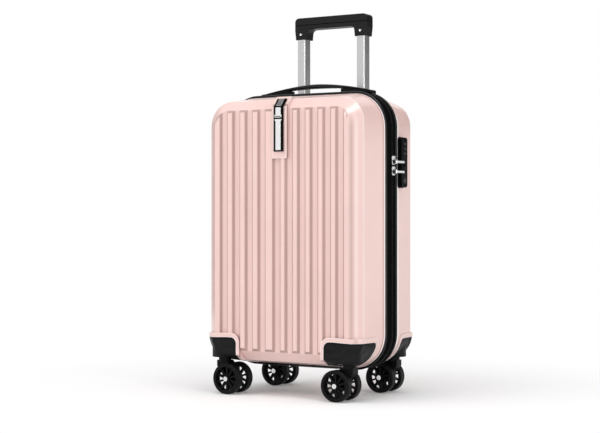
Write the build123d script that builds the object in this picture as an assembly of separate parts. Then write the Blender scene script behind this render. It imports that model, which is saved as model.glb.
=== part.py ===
from build123d import *
import math
import os

# A cabin-size hard case on four twin casters. Millimetres, +Z up, +X to the right and
# the ribbed front towards -Y. The origin is on the floor under the middle of the case.

# ---------------------------------------------------------------- case body
floor_to_band = 47.7        # floor to the underside of the zip band
band_half_width = 167.4     # outermost edge of the zip band's piping
band_half_height = 247.5
band_radius = 64.0
band_front_y = -21.5        # where the front shell meets the band
band_rear_y = 21.5          # where the back shell meets the band
parting_y = 5.0             # plane where the two zip halves meet
side_step = 1.6                # from the piping in to the shell wall, at the sides
top_step = 5.5                 # and at the top and bottom
rim_half_width = band_half_width - side_step
rim_half_height = band_half_height - top_step
rim_radius = band_radius - (side_step + top_step) / 2
lip_proud = 1.0             # raised bead round each rim
lip_width = 6.0
lip_fall = 2.0
side_draft = 6.8               # how far the walls lean in on their way to the bevel
top_draft = 9.3
crease_half_width = rim_half_width - side_draft
crease_half_height = rim_half_height - top_draft
crease_radius = 0.75 * rim_radius
crease_y = 87.0
side_bevel = 21.5              # bevel round the flat ribbed face
top_bevel = 22.7
face_half_width = crease_half_width - side_bevel
face_half_height = crease_half_height - top_bevel
face_radius = 0.43 * rim_radius
face_y = 107.0
wall = 2.0                  # shell wall
case_mid_z = floor_to_band + band_half_height
case_top_z = case_mid_z + band_half_height
face_top_z = case_mid_z + face_half_height

# ---------------------------------------------------------------- ribs
groove_depth = 5.0
groove_slope = 5.2          # width of each sloped side
groove_floor = 8.5
left_groove_x = -128.3      # left edge of the first groove of the left run
left_pitch = 27.0
left_count = 4
right_groove_x = -16.1      # left edge of the first groove of the right run
right_pitch = 25.7
right_count = 6
groove_width = groove_floor + 2 * groove_slope

# ---------------------------------------------------------------- pad and nameplate
pad_half_width = 15.0
pad_fold_z = face_top_z + 7.0   # height where the pad turns back over the bevel
pad_bottom_z = pad_fold_z - 90.0
pad_proud = 0.8
pad_top_rise = 1.6          # how far the pad stands over the top of the bevel
plate_half_width = 9.5
plate_thickness = 2.8
plate_bottom_z = pad_bottom_z + 12.0
plate_top_run = 19.0        # length of the nameplate behind its fold
bar_half_width = 5.2
bar_thickness = 0.9
bar_margin = 2.6
bar_gap_z = pad_fold_z - 17.0           # gap between the long bar and the short one
bar_gap = 2.0

# ---------------------------------------------------------------- zip band
tape_thickness = 1.2
tape_inset = 2.2            # tape surface below the piping
piping_width = 4.5
flange_length = 8.0         # tape tucked inside each shell
flange_thickness = 1.4
coil_width = 3.6
coil_proud = 0.9
coil_gap = 0.15             # from the parting plane to each coil
hinge_gap = 0.8             # from the piping to the hinge axis
gusset_low_z = case_mid_z - 148.0        # fabric hinge strip, inside the left of the band
gusset_high_z = case_mid_z + 152.0
gusset_thickness = 0.8
gusset_reach = 18.0
gusset_lap = 10.0           # strip runs past each end of the coil
soft_gap = 0.3
hinge_x = -(band_half_width + hinge_gap)

# ---------------------------------------------------------------- zip sliders and pulls
lock_low_z = 371.7
slider_zs = (lock_low_z + 28.7, lock_low_z + 47.5)
pull_zs = (lock_low_z + 27.5, lock_low_z + 45.0)
slider_width = 12.5
slider_length = 15.6
slider_plate = 1.7
slider_gap = 0.45
pull_thickness = 3.0
pull_height = 4.0
pull_axis_y = parting_y + 2.0
pull_pin_radius = 0.9
pull_eye_radius = 1.15

# ---------------------------------------------------------------- lock
lock_high_z = lock_low_z + 89.0
lock_front_y = band_rear_y + 2.7
lock_rear_y = lock_front_y + 22.8
lock_face_x = band_half_width + 7.0
pull_tip_y = lock_front_y + 11.8
lock_round = 5.0
lock_depth = 13.0           # body of the lock inside the wall
lock_margin = 3.5           # bezel all round the inner body
dial_radius = 6.6
dial_width = 6.4
dial_pitch = 8.6
dial_low_z = lock_low_z + 60.0
dial_proud = 0.8
dial_y = lock_front_y + 13.8
dial_bore = 1.5
dial_notches = 10
run_gap = 0.08              # radial running clearance
slot_gap = 0.4
key_radius = 4.6
key_z = lock_low_z + 12.0
key_length = 9.0
tab_length = 6.0
tab_travel = 3.0
tab_width = 8.0
bolt_radius = 0.8
bolt_arm = 1.6

# ---------------------------------------------------------------- casters
wheel_radius = 27.8
wheel_width = 14.0
fork_width = 18.6
wheel_side_gap = 0.6
caster_x = rim_half_width - 35.8
front_caster_y = -85.1
rear_caster_y = 76.5
trail = 17.0
spokes = 10
rim_inner_radius = 21.6
hub_radius = 6.0
spoke_width = 3.2
spoke_depth = 7.0
axle_radius = 3.0
axle_head_radius = 4.2
axle_head = 1.1
recess_width = 0.9            # cross recess in the bright heads
recess_depth = 0.6
collar_radius = 23.0
collar_low_z = 66.0
collar_height = 20.0
stem_radius = 11.5
stem_gap = 0.4
swivel_pin_radius = 4.0
swivel_head_radius = 7.0
swivel_head = 2.0
swivel_depth = 12.0
screw_radius = 2.0
screw_head_radius = 3.4
screw_head = 1.6
screw_length = 14.0
screw_circle = 15.0
screw_angles = (30.0, 120.0, 210.0)

# ---------------------------------------------------------------- corner guards
guard_proud = 1.3
guard_inner_x = caster_x - 39.0
guard_top_z = 103.0
guard_sag = 1.5             # dip in the middle of the top edge
front_guard_reach = 49.0    # how near a guard comes to the middle of the side
rear_guard_reach = 42.0
guard_round = 11.0
guard_crease_y = 93.0       # the guards keep square further out than the case
guard_underside_rise = 11.0 # rise of a guard's underside from there to the front
boss_proud = 0.6            # shell round the guards, over their surface
boss_width = 6.0
boss_top = 8.0

# ---------------------------------------------------------------- pull handle
tube_x = 63.85
tube_y = 82.5
inner_w = 16.5
inner_d = 21.3
middle_w = 20.5
middle_d = 25.3
outer_w = 24.7
outer_d = 29.5
tube_wall = 1.0
outer_wall = 1.1
tube_round = 2.5
tube_line_width = 0.9       # fine line down each side of an inner tube
tube_line_depth = 0.45
tube_line_inset = 1.7
guide_gap = 0.08
guide_height = 15.0
outer_low_z = floor_to_band + 35.5
middle_low_z = outer_low_z + 4.0
inner_nested_low_z = middle_low_z + 3.0
grip_half_width = 77.0
grip_high_z = 694.0
grip_low_z = grip_high_z - 41.0
grip_front_y = tube_y - 12.2
grip_rear_y = tube_y + 14.2
grip_seam = 14.0
grip_bar_height = 22.0
grip_foot_width = 25.0
grip_round = 8.0
grip_wall = 2.6
socket_depth = 17.0
button_half_length = 22.0
button_width = 13.0
button_proud = 0.4
button_travel = 4.0
yoke_height = 4.0
yoke_width = 5.0
yoke_half_length = 67.0
rod_radius = 1.5
plunger_radius = 2.0
plunger_tip_gap = 0.2
plunger_travel = 2.0
plunger_rise = 12.0         # plunger above the end of the inner tube
spring_radius = 4.0
spring_wire = 0.45
spring_turns = 3.5
grip_screw_radius = 2.2
grip_screw_z = grip_low_z + 9.7

# ---------------------------------------------------------------- handle housing
bezel_half_width = 86.0
bezel_front_y = 58.0
bezel_rear_y = 104.0
bezel_high_z = case_top_z - 1.7
bezel_floor_z = face_top_z
bezel_low_z = bezel_floor_z - 9.0
inner_lowered = grip_low_z - bezel_floor_z - 2.0    # how far the grip drops from the drawn position
bezel_flange = 3.0
bezel_flange_height = 2.0
pocket_gap = 2.3            # round the grip when it is down
foot_half_width = 82.0
foot_low_z = floor_to_band + 21.0
foot_high_z = foot_low_z + 24.5

# ---------------------------------------------------------------- carry handle
carry_y = band_rear_y + 3.0
carry_width = 19.0
carry_half_length = 106.0
carry_gap_half = 56.0
carry_top_z = case_top_z + 20.0
carry_end_z = case_top_z + 7.2
carry_underside_z = case_top_z + 11.0
mount_width = 23.0
mount_end = 10.0              # mounts run past the strap's ends

# ---------------------------------------------------------------- lining and straps
lining_gap = 2.6
lining = 1.0
lining_face_y = 98.0
lining_rim_setback = 3.0
bump_gap = 0.6
strap_width = 25.0
strap_thickness = 1.2
strap_y = 27.0
strap_slope = 1.2           # rise of the crossing straps over their run
buckle_length = 46.0
buckle_width = 32.0
buckle_thickness = 8.0
overshoot = 20.0            # how far cutting tools run past what they cut


# ================================================================ helpers
def section(half_w, half_h, radius, y):
    """Rounded rectangle across Y, centred on the case."""
    plane = Plane(origin=(0, y, case_mid_z), x_dir=(1, 0, 0), z_dir=(0, -1, 0))
    return plane * RectangleRounded(2 * half_w, 2 * half_h, radius)


def ring(half_w, half_h, radius, thickness, y0, y1):
    """Closed band following the case outline, from y0 to y1."""
    outer = extrude(section(half_w, half_h, radius, y0), amount=y1 - y0, dir=(0, 1, 0))
    inner = extrude(
        section(half_w - thickness, half_h - thickness, radius - thickness, y0),
        amount=y1 - y0,
        dir=(0, 1, 0),
    )
    return outer - inner


def box(x0, x1, y0, y1, z0, z1):
    """Box between two corners."""
    size = Box(x1 - x0, y1 - y0, z1 - z0)
    return Pos((x0 + x1) / 2, (y0 + y1) / 2, (z0 + z1) / 2) * size


def along_z(x, y, radius, z0, z1):
    """Upright cylinder."""
    return Pos(x, y, (z0 + z1) / 2) * Cylinder(radius, z1 - z0)


def along_y(x, z, radius, y0, y1):
    """Cylinder along Y."""
    return Pos(x, (y0 + y1) / 2, z) * (Rot(90, 0, 0) * Cylinder(radius, y1 - y0))


def along_x(y, z, radius, x0, x1):
    """Cylinder along X."""
    return Pos((x0 + x1) / 2, y, z) * (Rot(0, 90, 0) * Cylinder(radius, x1 - x0))


def prism_x(points, x0, x1):
    """Outline of (y, z) points, drawn out along X."""
    plane = Plane(origin=(x0, 0, 0), x_dir=(0, 1, 0), z_dir=(1, 0, 0))
    return extrude(plane * make_face(Polyline(*points, close=True)), amount=x1 - x0)


def prism_y(points, y0, y1):
    """Outline of (x, z) points, drawn out along Y."""
    plane = Plane(origin=(0, y0, 0), x_dir=(1, 0, 0), z_dir=(0, -1, 0))
    face = plane * make_face(Polyline(*points, close=True))
    return extrude(face, amount=y1 - y0, dir=(0, 1, 0))


def mirror_x(shape):
    return mirror(shape, about=Plane.YZ)


def square_tube(w, d, thickness, x, z0, z1):
    """Rounded rectangular tube standing at (x, tube_y)."""
    outer = Pos(x, tube_y, z0) * RectangleRounded(w, d, tube_round)
    inner = Pos(x, tube_y, z0) * RectangleRounded(
        w - 2 * thickness, d - 2 * thickness, tube_round - thickness
    )
    return extrude(outer - inner, amount=z1 - z0)


def square_bar(w, d, x, z0, z1, radius=tube_round):
    """Solid rounded rectangular bar standing at (x, tube_y)."""
    return extrude(Pos(x, tube_y, z0) * RectangleRounded(w, d, radius), amount=z1 - z0)


def save(node, shape):
    export_step(shape, f"parts/{node}.step")


def group(solids):
    return Compound(children=[s.solid() for s in solids])


# ================================================================ case halves
def rim_of(side):
    return band_front_y if side < 0 else band_rear_y


def outline(side, y, offset):
    """Half width, half height and corner radius of the side walls at y, grown by offset."""
    rim_y = rim_of(side)
    t = (y - rim_y) / (side * crease_y - rim_y)
    half_w = rim_half_width + t * (crease_half_width - rim_half_width)
    half_h = rim_half_height + t * (crease_half_height - rim_half_height)
    radius = rim_radius + t * (crease_radius - rim_radius)
    return half_w + offset, half_h + offset, radius + offset


def wall_ring(side, y0, y1, offset, thickness):
    """Thin band lying along the side walls between y0 and y1."""
    outer = [section(*outline(side, y, offset), y) for y in (y0, y1)]
    inner = [section(*outline(side, y, offset - thickness), y) for y in (y0, y1)]
    return loft(outer, ruled=True) - loft(inner, ruled=True)


def half_body(side, offset, past_rim=0.0):
    """Solid outline of one half, grown by offset. side is -1 for the front, 1 for the back."""
    rim_y = rim_of(side) - side * past_rim
    turn = offset * math.tan(math.radians(22.5))
    crease = side * (crease_y + turn)
    stages = [section(*outline(side, y, offset), y) for y in (rim_y, crease)]
    face = section(
        face_half_width + turn,
        face_half_height + turn,
        face_radius + turn,
        side * (face_y + offset),
    )
    return loft(stages + [face], ruled=True)


def rim_lip(side):
    """Raised bead round the rim, as a solid that is fused to the half."""
    y0 = rim_of(side)
    y1 = y0 + side * lip_width
    y2 = y1 + side * lip_fall
    stages = [
        section(*outline(side, y0, lip_proud), y0),
        section(*outline(side, y1, lip_proud), y1),
        section(*outline(side, y2, -lip_proud / 2), y2),
    ]
    return loft(stages, ruled=True)


def groove_edges():
    """Left edge of every groove."""
    left = [left_groove_x + left_pitch * k for k in range(left_count)]
    right = [right_groove_x + right_pitch * k for k in range(right_count)]
    return left + right


def grooves(side, offset, high_z):
    """All grooves of one face as cutting solids, grown by offset."""
    low_z = case_mid_z - crease_half_height - overshoot
    floor_y = face_y - groove_depth
    cuts = []
    for x in groove_edges():
        points = [
            (x, side * face_y),
            (x + groove_slope, side * floor_y),
            (x + groove_slope + groove_floor, side * floor_y),
            (x + groove_width, side * face_y),
            (x + groove_width, side * (face_y + overshoot)),
            (x, side * (face_y + overshoot)),
        ]
        face = make_face(Polyline(*points, close=True))
        if offset > 0:
            face = offset_face(face, offset)
        cuts.append(extrude(Pos(0, 0, low_z) * face, amount=high_z + offset - low_z))
    return cuts


def offset_face(face, amount):
    return offset(face, amount=amount, kind=Kind.INTERSECTION)


def bevel_run(length):
    """Y and Z steps of a move along the top bevel, towards the crease."""
    dy = face_y - crease_y
    dz = crease_half_height - face_half_height
    size = math.hypot(dy, dz)
    return length * dy / size, length * dz / size


def pad():
    """Smooth pad under the nameplate, standing over the ribs and the top bevel."""
    front = -(face_y + pad_proud)
    top_y = -crease_y - 2 * pad_top_rise
    run = (top_y - front) * (crease_half_height - face_half_height) / (face_y - crease_y)
    wall_y = -crease_y + 8 * pad_top_rise
    wall_z = case_mid_z + outline(-1, wall_y, -lip_proud / 2)[1]
    points = [
        (front, pad_bottom_z),
        (front, pad_fold_z),
        (top_y, pad_fold_z + run),
        (wall_y, wall_z),
        (wall_y, pad_fold_z - overshoot),
        (-face_y + 2 * groove_depth, pad_fold_z - 2 * overshoot),
        (-face_y + 2 * groove_depth, pad_bottom_z),
    ]
    return prism_x(points, -pad_half_width, pad_half_width)


def guard_body(side, offset):
    """Squarer outline that the guards and the bosses round them follow, grown by offset."""
    crease = side * guard_crease_y
    corner = outline(side, crease, offset)
    fall = face_y + guard_proud - guard_crease_y
    face = (corner[0] - fall, corner[1] - guard_underside_rise, corner[2] - guard_underside_rise)
    stages = [
        section(*outline(side, rim_of(side), offset), rim_of(side)),
        section(*corner, crease),
        section(*face, side * (face_y + offset)),
    ]
    return loft(stages, ruled=True)


def guard_views(side, reach_y, grow, rise):
    """Front and side outline of the right-hand guard, grown outwards, as one solid."""
    low_z = floor_to_band - overshoot
    far_x = band_half_width + overshoot
    inner_x = guard_inner_x - grow
    high = guard_top_z + rise
    drop = high - guard_sag
    edge = [
        (inner_x, low_z),
        (inner_x, high),
        (inner_x + 2 * guard_round, high),
        (crease_half_width - guard_round, drop),
        (far_x, drop),
        (far_x, low_z),
    ]
    front_view = prism_y(edge, -face_y - overshoot, face_y + overshoot)
    upright = front_view.edges().filter_by(Axis.Y)
    corner = upright.sort_by(Axis.X)[:2].sort_by(Axis.Z)[-1]
    front_view = fillet(corner, guard_round + grow)
    reach = side * (reach_y - grow)
    profile = [
        (side * (face_y + overshoot), low_z),
        (side * (face_y + overshoot), high),
        (reach, high),
        (reach, low_z),
    ]
    side_view = prism_x(profile, 0, far_x)
    near = side_view.edges().filter_by(Axis.X).filter_by(lambda e: abs(e.center().Y - reach) < 0.01)
    side_view = fillet(near.sort_by(Axis.Z)[-1], guard_round + grow)
    return front_view & side_view


def guard_boss(side, reach_y):
    """Shell wall built out round the right-hand guard."""
    block = guard_body(side, guard_proud + boss_proud) - half_body(side, -groove_depth - wall / 2)
    block = block & guard_views(side, reach_y, boss_width, boss_top)
    return block - guard_views(side, reach_y, slot_gap / 2, slot_gap / 2)


def cavity(side, groove_top):
    """Space inside one shell."""
    space = half_body(side, -wall, past_rim=1.0)
    return space - grooves(side, wall, groove_top)


def front_shell():
    groove_top = case_mid_z + crease_half_height + overshoot
    solid = half_body(-1, 0.0) + rim_lip(-1)
    solid = solid - grooves(-1, 0.0, groove_top)
    boss = guard_boss(-1, front_guard_reach)
    solid = solid + pad() + boss + mirror_x(boss)
    solid = solid - cavity(-1, groove_top)
    return solid - [collar_bore(x, front_caster_y) for x in (-caster_x, caster_x)]


def back_shell():
    groove_top = bezel_low_z - 2 * groove_depth
    solid = half_body(1, 0.0) + rim_lip(1)
    boss = guard_boss(1, rear_guard_reach)
    solid = solid - grooves(1, 0.0, groove_top) + boss + mirror_x(boss)
    solid = solid - cavity(1, groove_top)
    solid = solid - [collar_bore(x, rear_caster_y) for x in (-caster_x, caster_x)]
    return solid - bezel_block(slot_gap) - lock_core(slot_gap)


def collar_bore(x, y):
    """Hole in a shell for a caster collar and the pocket under it."""
    low_z = floor_to_band - overshoot
    return along_z(x, y, collar_radius + slot_gap, low_z, collar_low_z + collar_height)


# ================================================================ zip band
def coil_surface():
    return band_half_width - tape_inset + coil_proud


def zip_tape(side):
    """Piping, tape and the flange tucked into one shell."""
    rim_y = rim_of(side)
    piping_end = rim_y - side * piping_width
    tape_end = parting_y + side * (coil_gap + coil_width)
    inner = wall + soft_gap
    band = (band_half_width, band_half_height, band_radius)
    ys = sorted((rim_y, piping_end))
    piping = extrude(section(*band, ys[0]), amount=ys[1] - ys[0], dir=(0, 1, 0))
    hole = section(*outline(side, rim_y, -inner - flange_thickness), ys[0] - 1)
    piping = piping - extrude(hole, amount=ys[1] - ys[0] + 2, dir=(0, 1, 0))
    surface = [size - tape_inset for size in band]
    tape = ring(*surface, tape_thickness, min(piping_end, tape_end), max(piping_end, tape_end))
    flange_end = rim_y + side * flange_length
    flange = wall_ring(side, rim_y, flange_end, -inner, flange_thickness)
    return piping + tape + flange - lock_core(slot_gap)


def zip_coil(side):
    """Row of closed coil along one tape, left out along the fabric hinge."""
    sink = tape_inset - coil_proud
    surface = [s - sink for s in (band_half_width, band_half_height, band_radius)]
    near = parting_y + side * coil_gap
    far = near + side * coil_width
    coil = ring(*surface, coil_depth(), min(near, far), max(near, far))
    left = -band_half_width + overshoot
    low = gusset_low_z + gusset_lap
    high = gusset_high_z - gusset_lap
    gap = box(-band_half_width - 1, left, near - overshoot, near + overshoot, low, high)
    coil = coil - gap
    for z in slider_zs:
        half = slider_wedge() + slot_gap
        x0 = coil_surface() - overshoot
        coil = coil - box(x0, band_half_width, parting_y - half, parting_y + half, z - half * 2, z + half * 2)
    return coil


def coil_depth():
    return 2 * coil_proud + tape_thickness


def slider_wedge():
    """Half thickness of the wedge between the coils."""
    return coil_width / 4


def hinge_gusset():
    """Fabric strip behind both tapes on the hinged side."""
    deep = band_half_width - rim_half_width + wall + soft_gap + flange_thickness
    x1 = -band_half_width + deep + soft_gap
    x2 = x1 + gusset_thickness
    return box(x1, x2, parting_y - gusset_reach, parting_y + gusset_reach, gusset_low_z, gusset_high_z)


def zip_slider(z, pull_z):
    """One slider: outer plate with lips, wedge, inner plate and the pull's ears."""
    half_w = slider_width / 2
    low = z - slider_length / 2
    high = z + slider_length / 2
    under = coil_surface() + slider_gap
    top = under + slider_plate
    plate = box(under, top, parting_y - half_w, parting_y + half_w, low, high)
    plate = fillet(plate.edges().filter_by(Axis.X), slider_width / 5)
    body = plate
    lip_inner = coil_gap + coil_width + slider_gap
    lip_low = band_half_width - tape_inset + slider_gap
    for sign in (-1, 1):
        ys = sorted((parting_y + sign * lip_inner, parting_y + sign * half_w))
        body = body + box(lip_low, under, ys[0], ys[1], low + slider_width / 5, high - slider_width / 5)
    wedge = slider_wedge()
    inside = coil_surface() - coil_depth() - slider_gap
    body = body + box(inside, under, parting_y - wedge, parting_y + wedge, z - 2 * wedge, z + 2 * wedge)
    back = box(inside - slider_plate, inside, parting_y - half_w, parting_y + half_w, low, high)
    body = body + back
    for sign in (-1, 1):
        body = body + pull_ear(pull_z, sign)
    return body - along_z(pull_axis_x(), pull_axis_y, pull_pin_radius, pull_z - overshoot, pull_z + overshoot)


def pull_axis_x():
    return lock_face_x - slot_gap - pull_thickness / 2 - tab_rise()


def tab_rise():
    """How far the lock's face stands over the pulls that lie in it."""
    return 0.1


def pull_ear(pull_z, sign):
    """One of the two ears that hold a pull's pin."""
    base = coil_surface() + slider_gap + slider_plate
    near = pull_height / 2 + slot_gap / 2
    z0, z1 = sorted((pull_z + sign * near, pull_z + sign * (near + 1.2)))
    half = pull_thickness / 2
    block = box(base - 0.5, pull_axis_x(), pull_axis_y - half, pull_axis_y + half, z0, z1)
    return block + along_z(pull_axis_x(), pull_axis_y, half, z0, z1)


def pull_pin(pull_z):
    """Pin through one slider's ears and its pull."""
    reach = pull_height / 2 + slot_gap / 2 + 1.2
    return along_z(pull_axis_x(), pull_axis_y, pull_pin_radius, pull_z - reach, pull_z + reach)


def zip_sliders():
    return group([zip_slider(z, p) + pull_pin(p) for z, p in zip(slider_zs, pull_zs)])


def zip_pull(pull_z):
    """Flat metal pull with a pin hole at one end and an eye at the other."""
    x = pull_axis_x()
    half = pull_thickness / 2
    z0 = pull_z - pull_height / 2
    z1 = pull_z + pull_height / 2
    bar = box(x - half, x + half, pull_axis_y, pull_tip_y, z0, z1)
    bar = bar + along_z(x, pull_axis_y, half, z0, z1)
    bar = bar - along_z(x, pull_axis_y, pull_pin_radius + run_gap, z0 - 1, z1 + 1)
    return bar - along_z(x, bolt_y(), pull_eye_radius, z0 - 1, z1 + 1)


def bolt_y():
    return pull_tip_y - 3.0


# ================================================================ lock
def lock_core(gap):
    """Inner body of the lock, grown by gap."""
    y0 = lock_front_y + lock_margin - gap
    y1 = lock_rear_y - lock_margin + gap
    z0 = lock_low_z + lock_margin - gap
    z1 = lock_high_z - lock_margin + gap
    x1 = rim_half_width + lip_proud
    return box(x1 - lock_depth - gap, x1, y0, y1, z0, z1)


def dial_x():
    return lock_face_x + dial_proud - dial_radius


def dial_z(k):
    return dial_low_z + k * dial_pitch


def lock_housing():
    """Lock body with three dial slots, two pull channels and a slot for the tab."""
    bezel = box(crease_half_width, lock_face_x, lock_front_y, lock_rear_y, lock_low_z, lock_high_z)
    bezel = fillet(bezel.edges().filter_by(Axis.X), lock_round)
    face = bezel.faces().sort_by(Axis.X)[-1]
    bezel = fillet(face.edges(), lock_round / 3)
    bezel = bezel - half_body(1, 0.0) - rim_lip(1)
    housing = bezel + lock_core(0.0)
    for k in range(3):
        z0 = dial_z(k) - dial_width / 2 - slot_gap / 2
        z1 = dial_z(k) + dial_width / 2 + slot_gap / 2
        housing = housing - along_z(dial_x(), dial_y, dial_radius + slot_gap, z0, z1)
    ends = dial_width / 2 + slot_gap
    housing = housing + along_z(dial_x(), dial_y, dial_bore, dial_z(0) - ends, dial_z(2) + ends)
    for z in pull_zs:
        housing = housing - pull_channel(z)
    housing = housing - tab_slot()
    hole = along_x(lock_mid_y(), key_z, key_radius + run_gap, lock_face_x - key_length - slot_gap, lock_face_x + 1)
    return housing - hole


def lock_mid_y():
    return (lock_front_y + lock_rear_y) / 2


def pull_channel(z):
    """Channel in the lock's face that takes one pull."""
    half = pull_height / 2 + slot_gap
    x0 = pull_axis_x() - pull_thickness / 2 - slot_gap
    return box(x0, lock_face_x + 1, lock_front_y - 1, pull_tip_y + slot_gap, z - half, z + half)


def plate_low_z():
    """Lower end of the bolt plate, with the lock open."""
    return pull_zs[0] - pull_height / 2 - slot_gap - tab_travel - bolt_arm - slot_gap


def tab_low_z():
    middle = (pull_zs[0] + pull_zs[1]) / 2
    return middle - (tab_length + tab_travel) / 2


def tab_slot():
    """Slots in the lock for the tab, its plate and the two bolts."""
    x_plate = plate_x()
    half = tab_width / 2 + slot_gap
    z0 = tab_low_z() - slot_gap
    z1 = tab_low_z() + tab_length + tab_travel + slot_gap
    slot = box(x_plate, lock_face_x + 1, bolt_y() - half, bolt_y() + half, z0, z1)
    p0 = plate_low_z() - slot_gap
    p1 = pull_zs[1] + pull_height / 2 + slot_gap
    slot = slot + box(x_plate - slot_gap, x_plate + 2, bolt_y() - half, bolt_y() + half, p0, p1)
    for z in pull_zs:
        top = z - pull_height / 2
        slot = slot + along_z(pull_axis_x(), bolt_y(), bolt_radius + slot_gap, top - 6.0, top)
        arm = bolt_radius + slot_gap
        slot = slot + box(x_plate, pull_axis_x(), bolt_y() - arm, bolt_y() + arm, top - 6.0, top)
    return slot


def plate_x():
    return pull_axis_x() - pull_thickness / 2 - slot_gap - 3.0


def lock_release():
    """Sliding tab with its plate and the two bolts that hold the pulls."""
    x0 = plate_x()
    half = tab_width / 2
    z0 = tab_low_z()
    tab = box(x0 + 1.0, lock_face_x + 0.6, bolt_y() - half, bolt_y() + half, z0, z0 + tab_length)
    high = pull_zs[1] - pull_height / 2 - slot_gap - 1.2
    plate = box(x0, x0 + 1.6, bolt_y() - half, bolt_y() + half, plate_low_z(), high)
    part = tab + plate
    for z in pull_zs:
        tip = z - pull_height / 2 - slot_gap
        root = tip - tab_travel - bolt_arm
        arm = box(x0, pull_axis_x(), bolt_y() - bolt_radius, bolt_y() + bolt_radius, root, root + bolt_arm)
        part = part + arm + along_z(pull_axis_x(), bolt_y(), bolt_radius, root, tip)
    return part


def number_dial(k):
    """Knurled number wheel on the lock's spindle."""
    z0 = dial_z(k) - dial_width / 2
    z1 = dial_z(k) + dial_width / 2
    wheel = along_z(dial_x(), dial_y, dial_radius, z0, z1)
    for n in range(dial_notches):
        angle = math.radians(360 / dial_notches * (n + 0.5))
        x = dial_x() + (dial_radius + 0.5) * math.cos(angle)
        y = dial_y + (dial_radius + 0.5) * math.sin(angle)
        wheel = wheel - along_z(x, y, 1.0, z0 - 1, z1 + 1)
    return wheel - along_z(dial_x(), dial_y, dial_bore + run_gap, z0 - 1, z1 + 1)


def key_cylinder():
    """Turning key cylinder with its slot."""
    y = lock_mid_y()
    plug = along_x(y, key_z, key_radius, lock_face_x - key_length, lock_face_x + 0.3)
    slot = box(lock_face_x - 4, lock_face_x + 1, y - 0.5, y + 0.5, key_z - 2.6, key_z + 2.6)
    return plug - slot


# ================================================================ casters
def corner_guard(side, caster_y, reach_y):
    """Right-hand corner guard with the caster's collar."""
    guard = guard_body(side, guard_proud) - half_body(side, 0.0)
    guard = guard & guard_views(side, reach_y, 0.0, 0.0)
    top = collar_low_z + collar_height
    guard = guard + along_z(caster_x, caster_y, collar_radius, collar_low_z, top)
    guard = guard - stem_pocket(caster_x, caster_y)
    guard = guard - along_z(caster_x, caster_y, swivel_pin_radius + run_gap, collar_low_z - 1, top + 1)
    for x, y in screw_spots(side, caster_x, caster_y):
        guard = guard - along_z(x, y, screw_radius + run_gap, top - screw_length, top + 1)
    return guard


def stem_pocket(x, y):
    """Clear space under a collar where the fork turns."""
    return along_z(x, y, collar_radius - 2 * slot_gap, floor_to_band - overshoot, collar_low_z)


def screw_spots(side, x, y):
    """Centres of the screws round one swivel pin, on the side away from the corner."""
    spots = []
    for angle in screw_angles:
        turn = math.radians(angle)
        dx = math.copysign(screw_circle * math.cos(turn), x * math.cos(turn))
        spots.append((x + dx, y - side * screw_circle * math.sin(turn)))
    return spots


def caster_fixings(side, caster_y):
    """Swivel pins and collar screws of one half."""
    top = collar_low_z + collar_height
    pins = []
    for x in (-caster_x, caster_x):
        shank = along_z(x, caster_y, swivel_pin_radius, collar_low_z - swivel_depth, top)
        pins.append(shank + along_z(x, caster_y, swivel_head_radius, top, top + swivel_head))
        for sx, sy in screw_spots(side, x, caster_y):
            shank = along_z(sx, sy, screw_radius, top - screw_length + 1, top)
            pins.append(shank + along_z(sx, sy, screw_head_radius, top, top + screw_head))
    return group(pins)


def caster_fork(x, y, lean):
    """Fork between twin wheels. lean is the side it trails to, -1 or 1."""
    top = collar_low_z - stem_gap
    shoulder = collar_low_z - swivel_depth - 5.0
    axle_x = trail
    points = [
        (-stem_radius, top - 6.0),
        (stem_radius, top - 6.0),
        (axle_x + 9.0, wheel_radius + 12.0),
        (axle_x + 10.0, wheel_radius),
        (axle_x + 3.0, wheel_radius - 9.0),
        (axle_x - 8.0, wheel_radius - 5.0),
        (-stem_radius, shoulder),
    ]
    points = [(x + lean * px, pz) for px, pz in points]
    web = prism_y(points, y - fork_width / 2, y + fork_width / 2)
    stem = along_z(x, y, stem_radius, 2 * wheel_radius + 1.0, top)
    fork = web + stem
    bore_low = collar_low_z - swivel_depth - 1.0
    fork = fork - along_z(x, y, swivel_pin_radius + run_gap, bore_low, top + 1)
    half = fork_width / 2 + 1
    return fork - along_y(x + lean * trail, wheel_radius, axle_radius + run_gap / 2, y - half, y + half)


def wheel_near():
    """Distance from the caster's middle to a wheel's inner face."""
    return fork_width / 2 + wheel_side_gap


def cross_recess(x, z, y, length):
    """Cross cut into a bright head that faces along Y."""
    long = length / 2
    short = recess_width / 2
    upright = box(x - short, x + short, y - recess_depth, y + recess_depth, z - long, z + long)
    level = box(x - long, x + long, y - recess_depth, y + recess_depth, z - short, z + short)
    return upright + level


def caster_axle(x, y, lean):
    """Bolt through fork and wheels, with a bright head at each end."""
    far = wheel_near() + wheel_width + run_gap
    axle = along_y(x + lean * trail, wheel_radius, axle_radius, y - far, y + far)
    for sign in (-1, 1):
        ys = sorted((y + sign * far, y + sign * (far + axle_head)))
        axle = axle + along_y(x + lean * trail, wheel_radius, axle_head_radius, ys[0], ys[1])
        end_y = y + sign * (far + axle_head)
        axle = axle - cross_recess(x + lean * trail, wheel_radius, end_y, axle_head_radius * 1.3)
    return axle


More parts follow.
